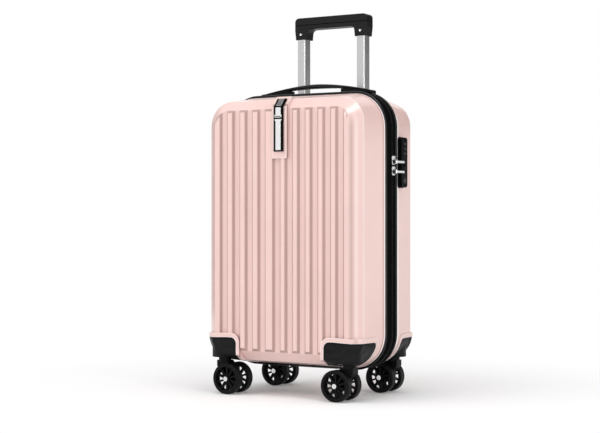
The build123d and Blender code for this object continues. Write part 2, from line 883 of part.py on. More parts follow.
def caster_wheel(x, y, lean, sign):
    """Spoked wheel on one side of a fork. sign is the side it is on, -1 or 1."""
    mid = y + sign * (wheel_near() + wheel_width / 2)
    cx = x + lean * trail
    y0 = mid - wheel_width / 2
    y1 = mid + wheel_width / 2
    tyre = along_y(cx, wheel_radius, wheel_radius, y0, y1)
    tyre = chamfer(tyre.edges().filter_by(GeomType.CIRCLE), 1.2)
    wheel = tyre - along_y(cx, wheel_radius, rim_inner_radius, y0 - 1, y1 + 1)
    wheel = wheel + along_y(cx, wheel_radius, hub_radius, y0, y1)
    inner = hub_radius - 1.0
    outer = rim_inner_radius + 1.0
    for k in range(spokes):
        spoke = box(inner, outer, -spoke_depth / 2, spoke_depth / 2, -spoke_width / 2, spoke_width / 2)
        turned = Rot(0, 360 / spokes * (k + 0.5), 0) * spoke
        wheel = wheel + Pos(cx, mid, wheel_radius) * turned
    return wheel - along_y(cx, wheel_radius, axle_radius + run_gap, y0 - 1, y1 + 1)


# ================================================================ pull handle
def inner_low_z():
    return inner_nested_low_z + inner_lowered


def both(shape):
    """A piece of the right-hand tube and its copy on the left."""
    return [shape, mirror_x(shape)]


def outer_tubes():
    tube = square_tube(outer_w, outer_d, outer_wall, tube_x, outer_low_z, bezel_floor_z - guide_height / 3)
    return group(both(tube))


def middle_high_z():
    return bezel_floor_z - 2 * slot_gap


def middle_tubes():
    tube = square_tube(middle_w, middle_d, tube_wall, tube_x, middle_low_z, middle_high_z())
    return group(both(tube))


def inner_tubes():
    tube = square_tube(inner_w, inner_d, tube_wall, tube_x, inner_low_z(), grip_low_z + socket_depth)
    tube = tube - along_y(tube_x, plunger_z(), plunger_radius + guide_gap, tube_y, tube_y + inner_d)
    front = tube_y - inner_d / 2
    tube = tube - along_y(tube_x, grip_screw_z, grip_screw_radius + run_gap, front - 1, front + 2)
    y0 = front + tube_line_inset
    y1 = y0 + tube_line_width
    for sign in (-1, 1):
        edge = tube_x + sign * inner_w / 2
        x0, x1 = sorted((edge - sign * tube_line_depth, edge + sign))
        tube = tube - box(x0, x1, y0, y1, inner_low_z() - 1, knee_z() + 1)
    return group(both(tube))


def frame_guide(out_w, out_d, in_w, in_d, z0, z1):
    """Plastic guide ring between two tubes."""
    outer = square_bar(out_w, out_d, tube_x, z0, z1)
    return outer - square_bar(in_w, in_d, tube_x, z0 - 1, z1 + 1)


def middle_guides():
    """Rings at the top inside and the bottom outside of each middle tube."""
    g = 2 * guide_gap
    top = frame_guide(
        middle_w - 2 * tube_wall - g,
        middle_d - 2 * tube_wall - g,
        inner_w + g,
        inner_d + g,
        middle_high_z() - guide_height,
        middle_high_z(),
    )
    low = frame_guide(
        outer_w - 2 * outer_wall - g,
        outer_d - 2 * outer_wall - g,
        middle_w + g,
        middle_d + g,
        middle_low_z,
        middle_low_z + guide_height,
    )
    return group(both(top) + both(low))


def plunger_z():
    return inner_low_z() + plunger_rise


def inner_guides():
    """Rings outside the inner tubes' lower ends, and the plugs that hold the plungers."""
    g = 2 * guide_gap
    z0 = inner_low_z()
    ring_high = plunger_z() - plunger_radius - 1.5
    outer_ring = frame_guide(
        middle_w - 2 * tube_wall - g,
        middle_d - 2 * tube_wall - g,
        inner_w + g,
        inner_d + g,
        z0,
        ring_high,
    )
    bore_w = inner_w - 2 * tube_wall - g
    bore_d = inner_d - 2 * tube_wall - g
    plug = square_bar(bore_w, bore_d, tube_x, z0, plunger_z() + plunger_rise, radius=1.4)
    plug = plug - along_y(tube_x, plunger_z(), plunger_radius + guide_gap, tube_y, tube_y + inner_d)
    rod_low = plunger_z() - plunger_radius
    plug = plug - along_z(tube_x, tube_y, rod_radius + slot_gap, rod_low, plunger_z() + overshoot)
    return group(both(outer_ring) + both(plug))


def lock_plungers():
    """Pins that catch the middle tubes, drawn in by the grip's button."""
    tip = tube_y + middle_d / 2 - tube_wall - plunger_tip_gap
    root = tube_y + rod_radius + plunger_travel + slot_gap
    return group(both(along_y(tube_x, plunger_z(), plunger_radius, root, tip)))


def rod_low_z():
    return plunger_z() + button_travel + slot_gap


def yoke_low_z():
    return grip_high_z - grip_seam + slot_gap * 5


def push_rods():
    """Yoke under the button with a rod down each inner tube."""
    yoke_mid = (tube_y + grip_mid_y()) / 2
    yoke = box(
        -yoke_half_length,
        yoke_half_length,
        yoke_mid - yoke_width,
        yoke_mid + yoke_width,
        yoke_low_z(),
        yoke_low_z() + yoke_height,
    )
    rod = along_z(tube_x, tube_y, rod_radius, rod_low_z(), yoke_low_z())
    return yoke + rod + mirror_x(rod)


def grip_mid_y():
    return (grip_front_y + grip_rear_y) / 2


def grip_block():
    """Whole outside shape of the grip."""
    inside = grip_half_width - grip_foot_width
    bar_low = grip_high_z - grip_bar_height
    taper = 2.0
    knee = grip_low_z + socket_depth
    half = [
        (inside - taper, bar_low),
        (inside, grip_low_z),
        (grip_half_width - taper, grip_low_z),
        (grip_half_width, knee),
        (grip_half_width, grip_high_z),
    ]
    points = half + [(-x, z) for x, z in reversed(half)]
    block = prism_y(points, grip_front_y, grip_rear_y)
    upright = block.edges().filter_by(Axis.Y)
    top = upright.group_by(Axis.Z)[-1]
    block = fillet(top, grip_round)
    elbows = [e for e in block.edges().filter_by(Axis.Y) if elbow(e, inside - taper, bar_low)]
    block = fillet(elbows, grip_round)
    ends = block.faces().filter_by(Axis.Y)
    return fillet(ends.edges(), 2.0)


def elbow(edge, x, z):
    """True for an edge where the bar meets a foot."""
    middle = edge.center()
    return abs(abs(middle.X) - x) < 0.5 and abs(middle.Z - z) < 0.5


def grip_parts():
    """Lower body and upper cover of the grip."""
    block = grip_block()
    seam_z = grip_high_z - grip_seam
    y0 = grip_front_y + grip_wall
    y1 = grip_rear_y - grip_wall
    reach = grip_half_width - grip_wall - 2.0
    floor_z = grip_high_z - grip_bar_height + grip_wall
    hollow = box(-reach, reach, y0, y1, floor_z, grip_high_z - grip_wall)
    far = grip_half_width + overshoot
    lower = block & box(-far, far, 0, 2 * grip_rear_y, grip_low_z - 1, seam_z)
    upper = block & box(-far, far, 0, 2 * grip_rear_y, seam_z, grip_high_z + 1)
    lower = lower - hollow
    socket = square_bar(inner_w + 2 * guide_gap, inner_d + 2 * guide_gap, tube_x, grip_low_z - 1, knee_z())
    well = box(tube_x - 6.0, tube_x + 6.0, tube_y - 7.0, tube_y + 7.0, knee_z() - 1, seam_z)
    for piece in both(socket) + both(well):
        lower = lower - piece
    screw = along_y(tube_x, grip_screw_z, grip_screw_radius + run_gap, grip_front_y - 1, grip_front_y + 2.5)
    for piece in both(screw):
        lower = lower - piece
    gap = slot_gap / 2
    mid = grip_mid_y()
    hole = box(
        -button_half_length - gap,
        button_half_length + gap,
        mid - button_width / 2 - gap,
        mid + button_width / 2 + gap,
        seam_z,
        grip_high_z + 1,
    )
    upper = upper - hollow - hole
    return lower, upper


def knee_z():
    return grip_low_z + socket_depth


def grip_button():
    """Push button in the top of the grip."""
    z0 = yoke_low_z() + yoke_height
    mid = grip_mid_y()
    button = box(
        -button_half_length,
        button_half_length,
        mid - button_width / 2,
        mid + button_width / 2,
        z0,
        grip_high_z + button_proud,
    )
    return fillet(button.edges().filter_by(Axis.Z), 3.0)


def button_spring():
    """Return spring under the yoke."""
    floor_z = grip_high_z - grip_bar_height + grip_wall + spring_wire
    height = yoke_low_z() - spring_wire - slot_gap / 2 - floor_z
    path = Helix(pitch=height / spring_turns, height=height, radius=spring_radius)
    start = Plane(origin=path @ 0, z_dir=path % 0)
    coil = sweep(start * Circle(spring_wire), path=path)
    return Pos(0, (tube_y + grip_mid_y()) / 2, floor_z) * coil


def grip_screws():
    """Bright screws in the front of the grip's feet."""
    head_y = grip_front_y - 0.4
    screw = along_y(tube_x, grip_screw_z, grip_screw_radius, head_y, grip_front_y + 2.4)
    screw = screw - cross_recess(tube_x, grip_screw_z, head_y, grip_screw_radius * 1.3)
    return group(both(screw))


def bezel_block(gap):
    """Outer block of the handle housing, grown by gap."""
    return box(
        -bezel_half_width - gap,
        bezel_half_width + gap,
        bezel_front_y - gap,
        bezel_rear_y + gap,
        bezel_low_z - gap,
        bezel_high_z + overshoot * (1 if gap > 0 else 0),
    )


def handle_housing():
    """Housing let into the top of the back shell, with a pocket for the grip."""
    block = bezel_block(0.0)
    pocket = box(
        -grip_half_width - pocket_gap,
        grip_half_width + pocket_gap,
        grip_front_y - pocket_gap,
        grip_rear_y + pocket_gap,
        bezel_floor_z,
        bezel_high_z + 1,
    )
    reach = bezel_flange
    frame = box(
        -bezel_half_width - reach,
        bezel_half_width + reach,
        bezel_front_y - reach,
        bezel_rear_y + reach,
        bezel_floor_z,
        bezel_high_z,
    )
    housing = (block + (frame - half_body(1, 0.0))) & half_body(1, bezel_flange_height)
    housing = housing - pocket
    g = 2 * guide_gap
    hole = square_bar(middle_w + g, middle_d + g, tube_x, bezel_low_z - 1, bezel_high_z)
    seat = square_bar(outer_w + g, outer_d + g, tube_x, bezel_low_z - 1, bezel_floor_z - guide_height / 3)
    for piece in both(hole) + both(seat):
        housing = housing - piece
    return housing


def handle_foot():
    """Bracket that carries the lower ends of the outer tubes."""
    front = tube_y - outer_d / 2 - 2.5
    rear = tube_y + outer_d / 2 + 1.5
    points = [
        (front, foot_low_z),
        (crease_y - 3.0, foot_low_z),
        (rear, foot_low_z + 12.0),
        (rear, foot_high_z),
        (front, foot_high_z),
    ]
    foot = prism_x(points, -foot_half_width, foot_half_width)
    g = 2 * guide_gap
    seat = square_bar(outer_w + g, outer_d + g, tube_x, outer_low_z, foot_high_z + 1)
    middle = box(-tube_x + outer_w, tube_x - outer_w, front - 1, rear + 1, outer_low_z - 4.0, foot_high_z + 1)
    for piece in both(seat) + [middle]:
        foot = foot - piece
    return foot


# ================================================================ carry handle
def strap_region(high_z):
    """Everything between the strap's underside and high_z, across Y."""
    plane = Plane(origin=(0, carry_y - mount_width, 0), x_dir=(1, 0, 0), z_dir=(0, -1, 0))
    end = carry_half_length + overshoot
    drop = (carry_top_z - carry_end_z) * 0.6
    low = ThreePointArc((-end, carry_underside_z - drop), (0, carry_underside_z), (end, carry_underside_z - drop))
    top = Polyline((end, carry_underside_z - drop), (end, high_z), (-end, high_z), (-end, carry_underside_z - drop))
    return extrude(plane * make_face([low, top]), amount=2 * mount_width, dir=(0, 1, 0))


def carry_handle():
    """Arched strap between the two mounts."""
    plane = Plane(origin=(0, carry_y - carry_width / 2, 0), x_dir=(1, 0, 0), z_dir=(0, -1, 0))
    a = carry_half_length
    top = ThreePointArc((-a, carry_end_z), (0, carry_top_z), (a, carry_end_z))
    low = Polyline((a, carry_end_z), (a, carry_end_z - 4.0), (-a, carry_end_z - 4.0), (-a, carry_end_z))
    slab = extrude(plane * make_face([top, low]), amount=carry_width, dir=(0, 1, 0))
    strap = slab & strap_region(carry_top_z + overshoot)
    return fillet(strap.edges().group_by(Axis.Z)[-1], 2.5)


def carry_mounts():
    """Blocks on the back shell that hold the strap's ends."""
    y0 = carry_y - mount_width / 2
    y1 = carry_y + mount_width / 2
    low_z = case_mid_z + crease_half_height
    end = carry_half_length + mount_end
    points = [
        (carry_gap_half, low_z),
        (carry_gap_half, carry_underside_z),
        (carry_half_length, carry_end_z),
        (end - 2.0, carry_end_z - 2.0),
        (end, carry_end_z - 4.5),
        (end, low_z),
    ]
    block = prism_y(points, y0, y1)
    block = block - half_body(1, 0.0) - rim_lip(1) - strap_region(carry_top_z + overshoot)
    block = block - box(0, band_half_width, band_front_y, band_rear_y + slot_gap, 0, case_top_z + slot_gap)
    return group(both(block.solids().sort_by(SortBy.VOLUME)[-1]))


# ================================================================ nameplate
def plate_path(rise):
    """Front line of the plate at a height over the pad, as (y, z) points."""
    front = -(face_y + pad_proud)
    step_y, step_z = bevel_run(1.0)
    fold = math.acos(step_z)
    fold_z = pad_fold_z + rise * math.tan(fold / 2)
    end_y = front + plate_top_run * step_y - rise * step_z
    end_z = pad_fold_z + plate_top_run * step_z + rise * step_y
    return [(front - rise, plate_bottom_z), (front - rise, fold_z), (end_y, end_z)]


def nameplate_base():
    """Dark plate on the pad, turned back over the bevel."""
    points = plate_path(0.0) + list(reversed(plate_path(plate_thickness)))
    return prism_x(points, -plate_half_width, plate_half_width)


def nameplate_bars():
    """Three bare bright bars on the dark plate."""
    front = plate_path(plate_thickness)
    y1 = front[0][0]
    y0 = y1 - bar_thickness
    w = bar_half_width
    long_bar = box(-w, w, y0, y1, plate_bottom_z + bar_margin, bar_gap_z)
    short_bar = box(-w, w, y0, y1, bar_gap_z + bar_gap, front[1][1] - bar_margin / 2)
    step_y, step_z = bevel_run(1.0)
    start = (front[1][0] + step_y * bar_margin / 2, front[1][1] + step_z * bar_margin / 2)
    end = (front[2][0] - step_y * bar_margin / 2, front[2][1] - step_z * bar_margin / 2)
    lift = (-step_z * bar_thickness, step_y * bar_thickness)
    points = [start, end, (end[0] + lift[0], end[1] + lift[1]), (start[0] + lift[0], start[1] + lift[1])]
    return group([long_bar, short_bar, prism_x(points, -w, w)])


# ================================================================ lining and straps
def lining_block(side, inset, face_gap, bumps):
    """Space bounded by one face of a lining."""
    rim_y = rim_of(side) + side * lining_rim_setback
    far = band_half_width + overshoot
    ys = sorted((rim_y - side * face_gap * overshoot, side * (lining_face_y - face_gap)))
    slab = box(-far, far, ys[0], ys[1], 0, case_mid_z + far + overshoot * 5)
    return (half_body(side, -wall - inset) & slab) - bumps


def collar_bumps(y, gap):
    """Room round both collars of one half."""
    top = collar_low_z + collar_height + swivel_head + gap
    return [along_z(x, y, collar_radius + gap, 0, top) for x in (-caster_x, caster_x)]


def handle_bumps(gap):
    """Room round the handle tubes, their foot, the housing and the lock."""
    half_w = outer_w / 2 + gap
    front = tube_y - outer_d / 2 - gap
    tubes = box(tube_x - half_w, tube_x + half_w, front, face_y, 0, bezel_high_z)
    foot_front = tube_y - outer_d / 2 - 2.5 - gap
    foot = box(-foot_half_width - gap, foot_half_width + gap, foot_front, face_y, 0, foot_high_z + gap)
    housing = box(
        -bezel_half_width - gap,
        bezel_half_width + gap,
        bezel_front_y - gap,
        face_y,
        bezel_low_z - gap,
        bezel_high_z + overshoot,
    )
    return both(tubes) + [foot, housing, lock_core(gap)]


def lining_tub(side, caster_y):
    """Thin lining of one half, standing clear of everything that the shell holds."""
    outer_bumps = collar_bumps(caster_y, bump_gap)
    inner_bumps = collar_bumps(caster_y, bump_gap + lining)
    if side > 0:
        outer_bumps = outer_bumps + handle_bumps(bump_gap)
        inner_bumps = inner_bumps + handle_bumps(bump_gap + lining)
    outer = lining_block(side, lining_gap, 0.0, outer_bumps)
    inner = lining_block(side, lining_gap + lining, lining, inner_bumps)
    return outer - inner


def pack_straps():
    """Two straps crossing over the packing space of the back half."""
    inset = wall + lining_gap + lining + soft_gap
    half_w = outline(1, strap_y, -inset)[0]
    rise = half_w * strap_slope
    angle = math.degrees(math.atan2(rise, half_w))
    length = 2 * math.hypot(rise, half_w) + overshoot
    band = Box(length, strap_thickness, strap_width)
    cross = None
    for sign in (-1, 1):
        turned = Pos(0, strap_y, case_mid_z) * (Rot(0, sign * angle, 0) * band)
        cross = turned if cross is None else cross + turned
    return cross & half_body(1, -inset)


def strap_buckle():
    """Clasp where the straps cross."""
    y1 = strap_y - strap_thickness / 2
    y0 = y1 - buckle_thickness
    half_l = buckle_length / 2
    half_w = buckle_width / 2
    buckle = box(-half_l, half_l, y0, y1, case_mid_z - half_w, case_mid_z + half_w)
    buckle = fillet(buckle.edges().filter_by(Axis.Y), 7.0)
    return fillet(buckle.faces().sort_by(Axis.Y)[0].edges(), 2.0)


# ================================================================ all nodes
def build():
    os.makedirs("parts", exist_ok=True)
    save("front_shell", front_shell())
    save("back_shell", back_shell())
    save("front_zip_tape", zip_tape(-1))
    save("back_zip_tape", zip_tape(1))
    save("front_zip_coil", zip_coil(-1))
    save("back_zip_coil", zip_coil(1))
    save("hinge_gusset", hinge_gusset())
    save("zip_sliders", zip_sliders())
    save("upper_zip_pull", zip_pull(pull_zs[1]))
    save("lower_zip_pull", zip_pull(pull_zs[0]))
    save("lock_housing", lock_housing())
    save("lock_release", lock_release())
    save("key_cylinder", key_cylinder())
    for k in range(3):
        save(f"number_dial_{k + 1}", number_dial(k))
    halves = (
        ("front", -1, front_caster_y, front_guard_reach),
        ("back", 1, rear_caster_y, rear_guard_reach),
    )
    for half, side, y, reach_y in halves:
        guard = corner_guard(side, y, reach_y)
        save(f"{half}_right_corner_guard", guard)
        save(f"{half}_left_corner_guard", mirror_x(guard))
        save(f"{half}_caster_fixings", caster_fixings(side, y))
        save(f"{half}_lining", lining_tub(side, y))
        for hand, x in (("left", -caster_x), ("right", caster_x)):
            lean = -1 if x > 0 else 1
            name = f"{half}_{hand}"
            save(f"{name}_fork", caster_fork(x, y, lean))
            save(f"{name}_axle", caster_axle(x, y, lean))
            save(f"{name}_wheel_a", caster_wheel(x, y, lean, -1))
            save(f"{name}_wheel_b", caster_wheel(x, y, lean, 1))
    save("outer_tubes", outer_tubes())
    save("middle_tubes", middle_tubes())
    save("middle_guides", middle_guides())
    save("inner_tubes", inner_tubes())
    save("inner_guides", inner_guides())
    save("lock_plungers", lock_plungers())
    save("push_rods", push_rods())
    lower, upper = grip_parts()
    save("grip_body", lower)
    save("grip_cover", upper)
    save("grip_button", grip_button())
    save("button_spring", button_spring())
    save("grip_screws", grip_screws())
    save("handle_housing", handle_housing())
    save("handle_foot", handle_foot())
    save("carry_handle", carry_handle())
    save("carry_mounts", carry_mounts())
    save("nameplate_base", nameplate_base())
    save("nameplate_bars", nameplate_bars())
    save("pack_straps", pack_straps())
    save("strap_buckle", strap_buckle())


build()
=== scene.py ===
"""Looks of a hard shell cabin case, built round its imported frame."""
import math

import bpy
from bpy.props import FloatProperty, FloatVectorProperty, PointerProperty
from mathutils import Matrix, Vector, noise
from mathutils.bvhtree import BVHTree


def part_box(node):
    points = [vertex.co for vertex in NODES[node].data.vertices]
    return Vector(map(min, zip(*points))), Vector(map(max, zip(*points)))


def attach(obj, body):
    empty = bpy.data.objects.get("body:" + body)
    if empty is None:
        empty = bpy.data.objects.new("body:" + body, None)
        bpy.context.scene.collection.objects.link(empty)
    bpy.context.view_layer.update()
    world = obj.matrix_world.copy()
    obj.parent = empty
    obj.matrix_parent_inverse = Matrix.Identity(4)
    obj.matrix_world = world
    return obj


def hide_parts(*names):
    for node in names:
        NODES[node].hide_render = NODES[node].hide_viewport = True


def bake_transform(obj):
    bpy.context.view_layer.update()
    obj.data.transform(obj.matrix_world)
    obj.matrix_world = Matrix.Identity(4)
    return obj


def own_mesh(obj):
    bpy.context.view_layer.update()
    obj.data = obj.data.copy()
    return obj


bl_info = {
    "name": "Hard shell cabin case",
    "version": (1, 0, 0),
    "blender": (4, 5, 0),
    "location": "3D View > Sidebar > Cabin case",
    "description": "Dresses a packed cabin case and sets up its studio",
    "category": "Object",
}

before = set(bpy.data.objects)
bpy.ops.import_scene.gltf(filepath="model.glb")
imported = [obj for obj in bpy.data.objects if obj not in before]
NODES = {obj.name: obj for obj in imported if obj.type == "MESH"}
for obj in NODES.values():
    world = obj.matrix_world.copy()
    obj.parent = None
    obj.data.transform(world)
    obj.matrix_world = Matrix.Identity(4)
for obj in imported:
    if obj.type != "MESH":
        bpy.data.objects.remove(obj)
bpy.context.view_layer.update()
SIDES = {"front": -1, "back": 1}
HALF_BODY = {"front": "lid", "back": "back"}
X, Y, Z = Vector((1, 0, 0)), Vector((0, 1, 0)), Vector((0, 0, 1))

# Depths of the case, in metres: where its halves part, then on each half its flat face, the
# crease between wall and bevel, the rolled rim with its painted highlight, the foot of the rim
# with its painted shade, and the strip at the zip on the front half, painted black as a shadow
PARTING_Y = 0.005
FACE_Y = 0.107
CREASE_Y = 0.087
RIM_Y = (0.0262, 0.0278)
FOOT_SHADE_Y = 0.0287
ZIP_SHADOW_Y = (-0.0246, -0.0240)

# The ribbed face
GROOVE_DEPTH = 0.005
FACE_HALF_W = 0.137
FACE_HALF_H = 0.2135

# Corner radii of the band and of the rim, how far the rim is inside the shell, and the side and
# end of each corner
BAND_CORNER = 0.064
RIM_CORNER = 0.06045
RIM_LIP = 0.001
QUARTERS = ((1, -1), (1, 1), (-1, 1), (-1, -1))


# ---------------------------------------------------------------- shader writing
class Field:
    """One output socket of a node tree. Arithmetic on it adds Math nodes."""

    def __init__(self, nodes, socket):
        self.nodes = nodes
        self.socket = socket

    def __getitem__(self, name):
        return Field(self.nodes, self.socket.node.outputs[name])

    def math(self, operation, *values):
        return self.nodes.node("ShaderNodeMath", {"operation": operation}, dict(enumerate(values)))

    def __add__(self, other):
        return self.math("ADD", self, other)

    def __radd__(self, other):
        return self.math("ADD", other, self)

    def __sub__(self, other):
        return self.math("SUBTRACT", self, other)

    def __rsub__(self, other):
        return self.math("SUBTRACT", other, self)

    def __mul__(self, other):
        return self.math("MULTIPLY", self, other)

    def __rmul__(self, other):
        return self.math("MULTIPLY", other, self)

    def __truediv__(self, other):
        return self.math("DIVIDE", self, other)

    def __pow__(self, other):
        return self.math("POWER", self, other)

    def sine(self):
        return self.math("SINE", self)

    def size(self):
        return self.math("ABSOLUTE", self)

    def least(self, other):
        return self.math("MINIMUM", self, other)

    def most(self, other):
        return self.math("MAXIMUM", self, other)

    def over(self, edge):
        """1 where the value is over edge, else 0."""
        return self.math("GREATER_THAN", self, edge)

    def hump(self, heart, reach):
        """1 where the value is heart, falling to 0 at reach from it."""
        return (1 - ((self - heart) / reach).size()).most(0.0)

    def smooth(self, low, high):
        """Smooth step from 0 at low to 1 at high."""
        settings = {"interpolation_type": "SMOOTHSTEP", "clamp": True}
        values = {"Value": self, "From Min": low, "From Max": high}
        return self.nodes.node("ShaderNodeMapRange", settings, values)


class Nodes:
    """Writes into one node tree."""

    def __init__(self, tree):
        self.tree = tree

    def node(self, kind, settings=None, values=None):
        """Adds a node, sets its settings, then its socket values and links."""
        made = self.tree.nodes.new(kind)
        for key, value in (settings or {}).items():
            setattr(made, key, value)
        self.feed(made, values or {})
        return Field(self, next(o for o in made.outputs if o.enabled))

    def feed(self, node, values):
        """Sets or links the sockets of a node."""
        for key, value in values.items():
            if isinstance(value, Field):
                self.tree.links.new(value.socket, node.inputs[key])
            else:
                node.inputs[key].default_value = value

    def seen(self):
        """1 for a look, straight or by way of metal or glass, and 0 for light on the case."""
        path = self.node("ShaderNodeLightPath")
        return path["Is Camera Ray"].most(path["Is Transmission Ray"]).most(path["Is Glossy Ray"])


class Finish(Nodes):
    """A procedural material round one Principled shader."""

    def __init__(self, name, **values):
        self.material = bpy.data.materials.new(name)
        self.material.use_nodes = True
        super().__init__(self.material.node_tree)
        self.shader = self.tree.nodes["Principled BSDF"]
        self.give(**values)

    def give(self, **values):
        """Sets or links shader sockets, such as base_color or roughness."""
        for key, value in values.items():
            name = key.replace("_", " ").title().replace("Ior", "IOR")
            self.feed(self.shader, {name: value})

    def place(self):
        """Object coordinates, in metres."""
        return self.node("ShaderNodeTexCoord")["Object"]

    def parts(self, where):
        """The three parts of a vector."""
        split = self.node("ShaderNodeSeparateXYZ", None, {0: where})
        return split["X"], split["Y"], split["Z"]

    def grain(self, where, scale, detail=2.0, stretch=(1, 1, 1)):
        """Noise from 0 to 1, with scale in waves per metre and stretch per axis."""
        values = {0: where, 1: stretch}
        scaled = self.node("ShaderNodeVectorMath", {"operation": "MULTIPLY"}, values)
        values = {"Vector": scaled, "Scale": scale, "Detail": detail}
        return self.node("ShaderNodeTexNoise", None, values)

    def blend(self, factor, first, second):
        """Mix of two colours."""
        a, b = (c if isinstance(c, Field) else (*c, 1) for c in (first, second))
        return self.node("ShaderNodeMix", {"data_type": "RGBA"}, {0: factor, 6: a, 7: b})

    def nearness(self, distance, inside=False):
        """How open the surface is: 1 in the open, less in a hollow, or inside, less at an edge."""
        settings = {"samples": 8, "only_local": True, "inside": inside}
        return self.node("ShaderNodeAmbientOcclusion", settings, {"Distance": distance})["AO"]

    def soft_edges(self, radius, samples=6):
        """Normal that rounds the edges off, or None where the radius is 0."""
        if radius == 0:
            return None
        return self.node("ShaderNodeBevel", {"samples": samples}, {"Radius": radius})

    def relief(self, height, distance, strength=1.0, base=None):
        """Normal of a height field that stands distance high, on top of a base normal."""
        values = {"Height": height, "Distance": distance, "Strength": strength}
        if base is not None:
            values["Normal"] = base
        return self.node("ShaderNodeBump", None, values)


def tint(color, factor):
    """A colour made darker or lighter."""
    return tuple(c * factor for c in color)


def dress(finish, *names):
    """Gives CAD nodes a finish."""
    for name in names:
        for slot in NODES[name].material_slots:
            slot.material = finish.material


def matching(*endings):
    """Names of the CAD nodes with these endings."""
    return sorted(name for name in NODES if name.endswith(endings))


# ---------------------------------------------------------------- forms
def circle(heart, across, up, radius, steps):
    """Points round a heart, from across towards up."""
    turns = [2 * math.pi * k / steps for k in range(steps)]
    return [heart + (across * math.cos(turn) + up * math.sin(turn)) * radius for turn in turns]


class Form:
    """Points and faces of a piece while it is put together."""

    def __init__(self):
        self.points = []
        self.faces = []

    def grid(self, rows, columns, place, closed=False, looped=False, caps=0, turned=False):
        """Net of faces through place(row, column).

        closed joins the last column to the first, and looped the last row to the first.
        turned flips its faces. caps shuts the two ends of a closed net, and its sign says
        which way these end faces turn.
        """
        start = len(self.points)
        wide = columns if closed else columns + 1
        tall = rows if looped else rows + 1
        self.points += [place(i, j) for i in range(tall) for j in range(wide)]
        for i in range(rows):
            here, there = start + i * wide, start + (i + 1) % tall * wide
            for j in range(columns):
                after = (j + 1) % wide
                a, b, c, d = here + j, here + after, there + after, there + j
                self.faces.append((a, d, c, b) if turned else (a, b, c, d))
        if caps:
            first = tuple(range(start, start + wide))
            last = tuple(range(len(self.points) - wide, len(self.points)))
            self.faces += [first[::-1], last] if caps > 0 else [first, last[::-1]]

    def rings(self, rings, caps=1, turned=False):
        """Closed rings of points with the faces between them."""
        count = len(rings[0])
        steps = len(rings) - 1
        self.grid(steps, count, lambda i, j: rings[i][j], closed=True, caps=caps, turned=turned)

    def tube(self, spine, radii, across, sides=6):
        """Tube along a few points. across is square to the line it follows."""
        rings = []
        last = len(spine) - 1
        for k, (point, radius) in enumerate(zip(spine, radii)):
            ahead = (spine[min(k + 1, last)] - spine[max(k - 1, 0)]).normalized()
            up = ahead.cross(across).normalized()
            rings.append(circle(point, across, up, radius, sides))
        self.rings(rings, caps=-1, turned=True)

    def prism(self, outline, origin, across, upward, rise):
        """Flat plate. outline holds (across, upward) pairs, and rise is how it stands up."""
        base = [origin + across * u + upward * v for u, v in outline]
        self.rings([base, [point + rise for point in base]])

    def lathe(self, profile, origin, axis, side, steps=24):
        """Turned form. profile holds (radius, height along the axis) pairs."""
        other = axis.cross(side)
        self.rings([circle(origin + axis * h, side, other, r, steps) for r, h in profile])

    def build(self, name, finish):
        """The form as an object of the scene, with its finish."""
        mesh = bpy.data.meshes.new(name)
        mesh.from_pydata([tuple(point) for point in self.points], [], self.faces)
        mesh.validate()
        mesh.materials.append(finish.material)
        made = bpy.data.objects.new(name, mesh)
        bpy.context.scene.collection.objects.link(made)
        return made

    def piece(self, name, finish, slot, body, flat=False):
        """The form as a piece that rides on a body, if it is given one."""
        piece = self.build(name, finish)
        if not flat:
            piece.data.shade_smooth()
        if body:
            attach(piece, body)
        return piece


def soften(piece, width):
    """Rounds the sharp edges of a piece."""
    round_off = piece.modifiers.new("soft_edges", "BEVEL")
    round_off.width = width
    round_off.segments = 2
    round_off.limit_method = "ANGLE"


def thicken(piece, thickness):
    """Gives a sheet its thickness, half on each side."""
    cloth = piece.modifiers.new("cloth", "SOLIDIFY")
    cloth.thickness = thickness
    cloth.offset = 0


def ripple(where, scale, seed):
    """Soft unevenness from -1 to 1, with scale in waves per metre."""
    return noise.noise(where * scale + Vector((seed, seed * 0.7, 0)))


def surface_of(name):
    """Search tree of a CAD node's surface."""
    data = NODES[name].data
    points = [v.co.copy() for v in data.vertices]
    return BVHTree.FromPolygons(points, [tuple(p.vertices) for p in data.polygons])


def reach_to(surface, origin, way, limit):
    """How far a surface is along a way, or a share of the limit where there is none."""
    spot = surface.ray_cast(origin, way, limit)[0]
    if spot is None:
        spot = origin + way * (limit * 0.3)
    return (spot - origin).length


# ---------------------------------------------------------------- lines round the case
def case_sizes():
    """Middle height, then half width, half height and corner radius of the band and of the rim."""
    low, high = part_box("front_zip_tape")
    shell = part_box("front_shell")[1]
    middle = (low.z + high.z) / 2
    band = (high.x, high.z - middle, BAND_CORNER)
    rim = (shell.x - RIM_LIP, shell.z - RIM_LIP - middle, RIM_CORNER)
    return middle, band, rim


def corner_turn(quarter, share):
    """Angle at a share of one quarter of a turn. The first quarter ends at 0."""
    return math.radians(90 * (quarter - 1 + share))


def corner_way(quarter, share):
    """Way out from the case at a share of one of its corners."""
    turn = corner_turn(quarter, share)
    return Vector((math.cos(turn), 0, math.sin(turn)))


def corner_point(size, middle, quarter, way, out=0.0):
    """Point of a corner's arc, out from it along its way."""
    half_w, half_h, radius = size
    side, end = QUARTERS[quarter]
    heart = Vector((side * (half_w - radius), 0, middle + end * (half_h - radius)))
    return heart + way * (radius + out)


